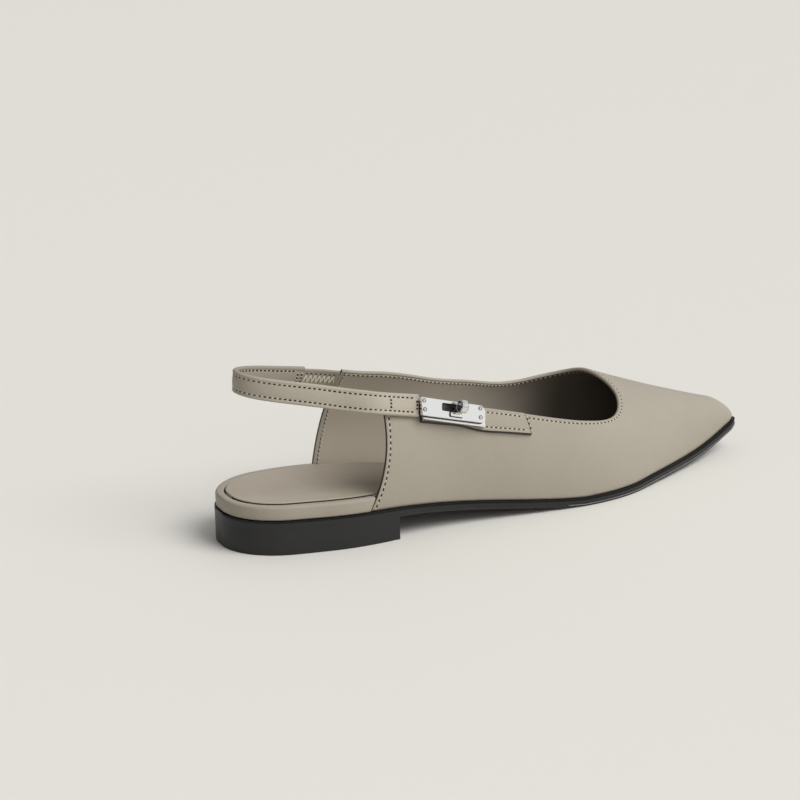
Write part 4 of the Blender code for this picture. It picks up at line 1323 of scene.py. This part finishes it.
def build_tab():
    foot, high = GAP * 0.3, GAP + TAB_THICK
    down = np.concatenate([TAB_TOP_LINES, np.linspace(0.06, 0.93, TAB_FACE_LINES), TAB_LOW_LINES])
    rise = np.concatenate([TAB_TOP_RISE, np.ones(TAB_FACE_LINES), TAB_LOW_RISE])
    height = float(TAB["height"](TAB_START))
    seam = np.zeros(len(down))
    for at in (TAB_SEAM, 1 - TAB_SEAM):
        seam = seam + groove(down * height, at * height, SEAM_HALF_WIDTH, SEAM_DEPTH)
    past_end = np.array([0.15, 0.35, 0.5]) * MM / (TAB_END - TAB_START)
    along_tab = graded(1.0, lambda s: 0.003 + 0.009 * smoothstep((1 - s) / 0.08))
    shares = np.concatenate([along_tab, 1 + past_end])
    heights = np.concatenate([np.ones(len(shares) - 5), [0.96, 0.88, 0.7, 0.35, 0.0]])
    under = down[1:-1][::-1]
    rings = []
    for share, tall in zip(shares, heights):
        out = foot + (high - foot) * rise * tall + seam * (rise > 0.9) * tall
        upper_side = tab_place(np.full(len(down), share), down, out)
        lower_side = tab_place(np.full(len(under), share), under, np.full(len(under), foot))
        rings.append(np.vstack([upper_side, lower_side[2:-2]]))
    piece = loft("tab_leather", rings, [TAUPE, DARK_EDGE_AND_SHADE], angle=30.0)
    size = len(rings[0])
    # The tab's lower edge, its end and a strip of its top before the end take the dark edge colour: its dark
    # cut edge together with painted shadow where the tab meets the quarter.
    low_edge = len(TAB_TOP_LINES) + TAB_FACE_LINES
    for number, face in enumerate(piece.data.polygons):
        ring, step = divmod(number, size)
        if ring >= len(shares) - 6 or low_edge <= step <= len(down):
            face.material_index = 1
    ride_for(piece, "taupe_leather", "strap_tab")
    share = np.linspace(0.02, 0.975, 300)
    for at in (TAB_SEAM, 1 - TAB_SEAM):
        sew_tab(share, np.full(300, at), np.full(300, high - SEAM_DEPTH))
    beyond = 1 + 1.3 * MM / (TAB_END - TAB_START)
    sew_tab(np.full(30, beyond), np.linspace(0.02, 0.90, 30), np.zeros(30))


# Turn lock


class LockFrame:
    """The turn lock's own directions: along it, up it, and out from the quarter."""

    def __init__(self):
        phi = phi_at_height(LOCK_X, LOCK_Z)
        self.foot = skin(np.float64(LOCK_X), LATERAL, phi)
        normal = skin_normal(np.float64(LOCK_X), LATERAL, phi)
        along = np.array([1.0, -(normal[0] + LOCK_SLOPE * normal[2]) / normal[1], LOCK_SLOPE])
        self.along = along / np.linalg.norm(along)
        up = np.cross(self.along, normal)
        up *= np.sign(up[2])
        lean = math.radians(LOCK_LEAN_MORE)
        self.out = math.cos(lean) * normal + math.sin(lean) * up
        self.up = math.cos(lean) * up - math.sin(lean) * normal
        under = [
            tab_place(np.float64(share), np.float64(down), GAP + TAB_THICK)
            for share in np.linspace(0.0, 0.62, 16)
            for down in (0, 0.5, 1)
        ]
        self.base = max(float((point - self.foot) @ self.out) for point in under) + GAP
        self.plate = self.base + BASE_THICK + GAP
        self.face = self.plate + LOCK_THICK

    def place(self, along, up, out):
        return self.foot + self.along * along + self.up * up + self.out * out

    def prism(self, outline, low, high, name, material=METAL):
        """An upright body over an outline, for use with Boolean modifiers."""
        rings = [[self.place(a, b, out) for a, b in outline] for out in (low, high)]
        return loft(name, rings, [material], angle=20.0)

    def turned(self, name, profile, middle, axis, material, sides=40, dark=()):
        """A body turned about an axis through middle: profile lists (place along it, radius), and
        dark lists the steps of the profile that take the dark nickel, as painted dark reflection."""
        axis = unit(np.array(axis))
        first = unit(np.cross(axis, self.up + 0.01 * self.along))
        second = np.cross(axis, first)
        turn = np.linspace(0.0, 2 * math.pi, sides, endpoint=False)
        rings = []
        for along, radius in profile:
            circle = np.cos(turn)[:, None] * first + np.sin(turn)[:, None] * second
            rings.append(middle + axis * along + circle * radius)
        piece = loft(name, rings, [material, NICKEL_SHADE_AND_REFLECTION], angle=28.0)
        for number, face in enumerate(piece.data.polygons):
            if number // sides in dark:
                face.material_index = 1
        return piece


def rounded_outline(outline, radius, steps=4):
    """An outline with its corners rounded."""
    points = np.array(outline)
    made = []
    for before, point, after in zip(np.roll(points, 1, axis=0), points, np.roll(points, -1, axis=0)):
        a, b = unit(before - point), unit(after - point)
        cut = min(radius, np.linalg.norm(before - point) / 2.2, np.linalg.norm(after - point) / 2.2)
        start, end = point + a * cut, point + b * cut
        for t in np.linspace(0.0, 1.0, steps + 1):
            made.append((1 - t) ** 2 * start + 2 * t * (1 - t) * point + t**2 * end)
    return made


def oblong(middle, size):
    half_l, half_h = size[0] / 2, size[1] / 2
    signs = ((-1, -1), (1, -1), (1, 1), (-1, 1))
    return [(middle[0] + a * half_l, middle[1] + b * half_h) for a, b in signs]


def solid(piece, cutters, joined=(), bevel=0.0):
    """Applies Boolean steps and a bevel to a body, and removes the tools."""
    for tool, operation in [(t, "UNION") for t in joined] + [(t, "DIFFERENCE") for t in cutters]:
        step = piece.modifiers.new(operation.lower(), "BOOLEAN")
        step.solver = "EXACT"
        step.operation = operation
        step.object = tool
    if bevel:
        step = piece.modifiers.new("bevel", "BEVEL")
        step.width = bevel
        step.segments = 3
        step.limit_method = "ANGLE"
        step.angle_limit = math.radians(35)
        step.harden_normals = False
    graph = bpy.context.evaluated_depsgraph_get()
    mesh = bpy.data.meshes.new_from_object(piece.evaluated_get(graph))
    piece.modifiers.clear()
    piece.data = mesh
    for tool in list(cutters) + list(joined):
        bpy.data.objects.remove(tool)
    mesh.shade_smooth()
    mesh.set_sharp_from_angle(angle=math.radians(12))
    return piece


# Turned shapes in millimetres: place along the axis, from either end of the knob, and radius
KNOB_NEAR = (
    (0.25, 0.0005),
    (0.25, 1.35),
    (0.55, 1.5),
    (0.55, 1.95),
    (0.1, 2.1),
    (0.0, 2.2),
    (0.0, 2.5),
    (0.12, 2.7),
)
KNOB_FAR = ((0.1, 2.65), (0.0, 2.4), (0.0, 0.0005))
# Steps of the knob in dark nickel: painted dark reflection on its rims.
KNOB_REFLECTION_STEPS = (1, 2, 3, 7, 9)
KNOB_BEVEL = 0.35 * MM
SCREW_SEAT = ((-0.1, 0.95), (0.06, 0.95), (0.08, 0.85), (0.02, 0.72), (-0.1, 0.7))
SCREW_DOME = ((-0.05, 0.62), (0.18, 0.6), (0.3, 0.45), (0.36, 0.2), (0.37, 0.001))
SHADOW_ROUND = 0.6 * MM


def build_lock():
    lock = LockFrame()
    outline = rounded_outline(BASE_OUTLINE, 0.5 * MM)
    base = lock.prism(outline, lock.base, lock.base + BASE_THICK, "lock_base_nickel")
    ride_for(solid(base, [], bevel=0.15 * MM), "polished_metal", "lock_base")
    outline = rounded_outline(LOCK_OUTLINE, 0.45 * MM)
    plate = lock.prism(outline, lock.plate, lock.face, "lock_plate_nickel")
    outline = rounded_outline(oblong(SLOT_MIDDLE, SLOT_SIZE), 0.7 * MM)
    slot = lock.prism(outline, lock.base, lock.face + 2 * MM, "slot_tool")
    outline = rounded_outline(oblong(LIP_MIDDLE, LIP_SIZE), 0.6 * MM)
    lip = lock.prism(outline, lock.face - 0.8 * MM, lock.face + LIP_STAND, "lip_tool")
    ride_for(solid(plate, [slot], [lip], bevel=0.28 * MM), "polished_metal", "lock_plate")
    # Thin dark nickel bodies: painted shade on the slot's floor, round the lip and under the plate's lower
    # edge.
    slot_floor_shade = oblong(SLOT_MIDDLE, (SLOT_SIZE[0] - 0.2 * MM, SLOT_SIZE[1] - 0.2 * MM))
    round_lip = oblong(LIP_MIDDLE, (LIP_SIZE[0] + 0.7 * MM, LIP_SIZE[1] + 0.7 * MM))
    lowered = [(a, b - 0.35 * MM) if b < 0 else (a, b) for a, b in LOCK_OUTLINE]
    for name, outline, low, high in (
        ("slot_floor_shade", slot_floor_shade, lock.plate - 0.1 * MM, lock.plate + 0.3 * MM),
        ("lip_shadow", round_lip, lock.face - 0.1 * MM, lock.face + 0.02 * MM),
        ("plate_shadow", lowered, lock.base + BASE_THICK, lock.plate + 0.1 * MM),
    ):
        shade_prism = lock.prism(rounded_outline(outline, SHADOW_ROUND), low, high, name, NICKEL_SHADE_AND_REFLECTION)
        ride_for(shade_prism, "polished_metal")
    half = KNOB_LENGTH / 2
    profile = [(-half + s, radius) for s, radius in in_mm(KNOB_NEAR)]
    profile += [(-half + KNOB_BEVEL, KNOB_RADIUS), (half - KNOB_BEVEL, KNOB_RADIUS)]
    profile += [(half - s, radius) for s, radius in in_mm(KNOB_FAR)]
    centre = lock.place(POST_MIDDLE[0], POST_MIDDLE[1] + KNOB_RISE, lock.face + KNOB_STAND)
    knob = lock.turned("lock_knob_nickel", profile, centre, lock.along, METAL, dark=KNOB_REFLECTION_STEPS)
    profile = [(0.0, POST_RADIUS), (KNOB_STAND + LOCK_THICK, POST_RADIUS)]
    foot = lock.place(*POST_MIDDLE, lock.plate)
    post = lock.turned("lock_post_nickel", profile, foot, lock.out, METAL, 24)
    ride_for(knob, "polished_metal", "lock_knob")
    ride_for(post, "polished_metal")
    for number, middle in enumerate(SCREW_MIDDLES, 1):
        # Each screw head sits in a ring of dark nickel: painted shade round the head.
        foot = lock.place(*middle, lock.face)
        seat = lock.turned(f"screw_seat_{number}", in_mm(SCREW_SEAT), foot, lock.out, NICKEL_SHADE_AND_REFLECTION, 20)
        ride_for(seat, "polished_metal")
        head = lock.turned(f"screw_head_{number}", in_mm(SCREW_DOME), foot, lock.out, METAL, 20)
        ride_for(head, "polished_metal", f"lock_screw_{number}")


# Stage

FLOOR_HALF = 6.0
# The sky's level straight down and straight up, and at heights between them
SKY_ENDS = (0.6, 0.55)
SKY_LEVELS = ((0.50, 0.34), (0.60, 0.58), (0.68, 0.82), (0.78, 0.70), (0.90, 0.64))
SKY_ACROSS = (("X", 0.20, 1.25), ("Y", 1.15, 0.80))
SOFT_BOX = {"shape": "RECTANGLE", "size": 1.0, "size_y": 0.8}


def add_light(name, kind, energy, direction, place=(0.0, 0.0, 0.0), **settings):
    """A soft light that shines in a direction and doesn't show in the metal."""
    data = bpy.data.lights.new(name, kind)
    data.energy = energy
    for key, value in settings.items():
        setattr(data, key, value)
    light = bpy.data.objects.new(name, data)
    light.location = place
    light.rotation_euler = Vector(direction).to_track_quat("-Z", "Y").to_euler()
    light.visible_glossy = False
    PIECES.objects.link(light)


def build_stage():
    corners = np.array([(-1, -1, 0), (1, -1, 0), (1, 1, 0), (-1, 1, 0)]) * FLOOR_HALF
    floor_material = plain("pale_floor", (0.735, 0.716, 0.664), 0.7)
    new_piece("floor", corners, [(0, 1, 2, 3)], [floor_material])
    world = bpy.data.worlds.new("studio")
    bpy.context.scene.world = world
    world.use_nodes = True
    nodes = world.node_tree.nodes
    sky = add(nodes, "TexCoord").outputs["Generated"]
    towards = add(nodes, "SeparateXYZ", Vector=sky).outputs
    ramp = add(nodes, "ValToRGB", Fac=ranged(nodes, towards["Z"], 0.0, 1.0, From_Min=-1.0))
    stops = ramp.color_ramp.elements
    for stop, level in zip(stops, SKY_ENDS):
        stop.color = (level, level, level, 1.0)
    for place, level in SKY_LEVELS:
        stops.new(place).color = (level, level, level, 1.0)
    level = ramp.outputs["Color"]
    for axis, low, high in SKY_ACROSS:
        across = ranged(nodes, towards[axis], low, high, From_Min=-1.0)
        level = calculated(nodes, "MULTIPLY", level, across)
    feed(nodes["Background"], Color=level)
    add_light("window", "SUN", 2.4, (-0.40, 0.54, -0.76), angle=math.radians(40))
    add_light("camera_side", "AREA", 2.0, (0.5, 1.7, -0.87), (-0.5, -1.7, 0.9), **SOFT_BOX)


def build_camera():
    data = bpy.data.cameras.new("photo_camera")
    data.lens = CAMERA_LENS
    data.sensor_width = CAMERA_SENSOR
    data.sensor_fit = "HORIZONTAL"
    data.clip_start, data.clip_end = 0.05, 30.0
    camera = bpy.data.objects.new("photo_camera", data)
    eye, aim = np.array(CAMERA_EYE) + SHIFT, np.array(CAMERA_AIM) + SHIFT
    forward = unit(aim - eye)
    right = unit(np.cross(forward, [0.0, 0.0, 1.0]))
    up = np.cross(right, forward)
    roll = math.radians(CAMERA_ROLL)
    tilted_right = math.cos(roll) * right + math.sin(roll) * up
    tilted_up = math.cos(roll) * up - math.sin(roll) * right
    turn = np.eye(4)
    turn[:3, 0], turn[:3, 1], turn[:3, 2], turn[:3, 3] = tilted_right, tilted_up, -forward, eye
    camera.matrix_world = Matrix(turn.tolist())
    PIECES.objects.link(camera)
    bpy.context.scene.camera = camera
    bpy.context.scene.view_settings.view_transform = "Standard"


build_camera()
build_stage()
sew_upper(*build_upper())
build_sole()
build_footbed()
build_insole()
build_strap()
build_elastic()
build_tab()
build_lock()
THREADS.finish("taupe_leather")
HOLES.finish("taupe_leather")
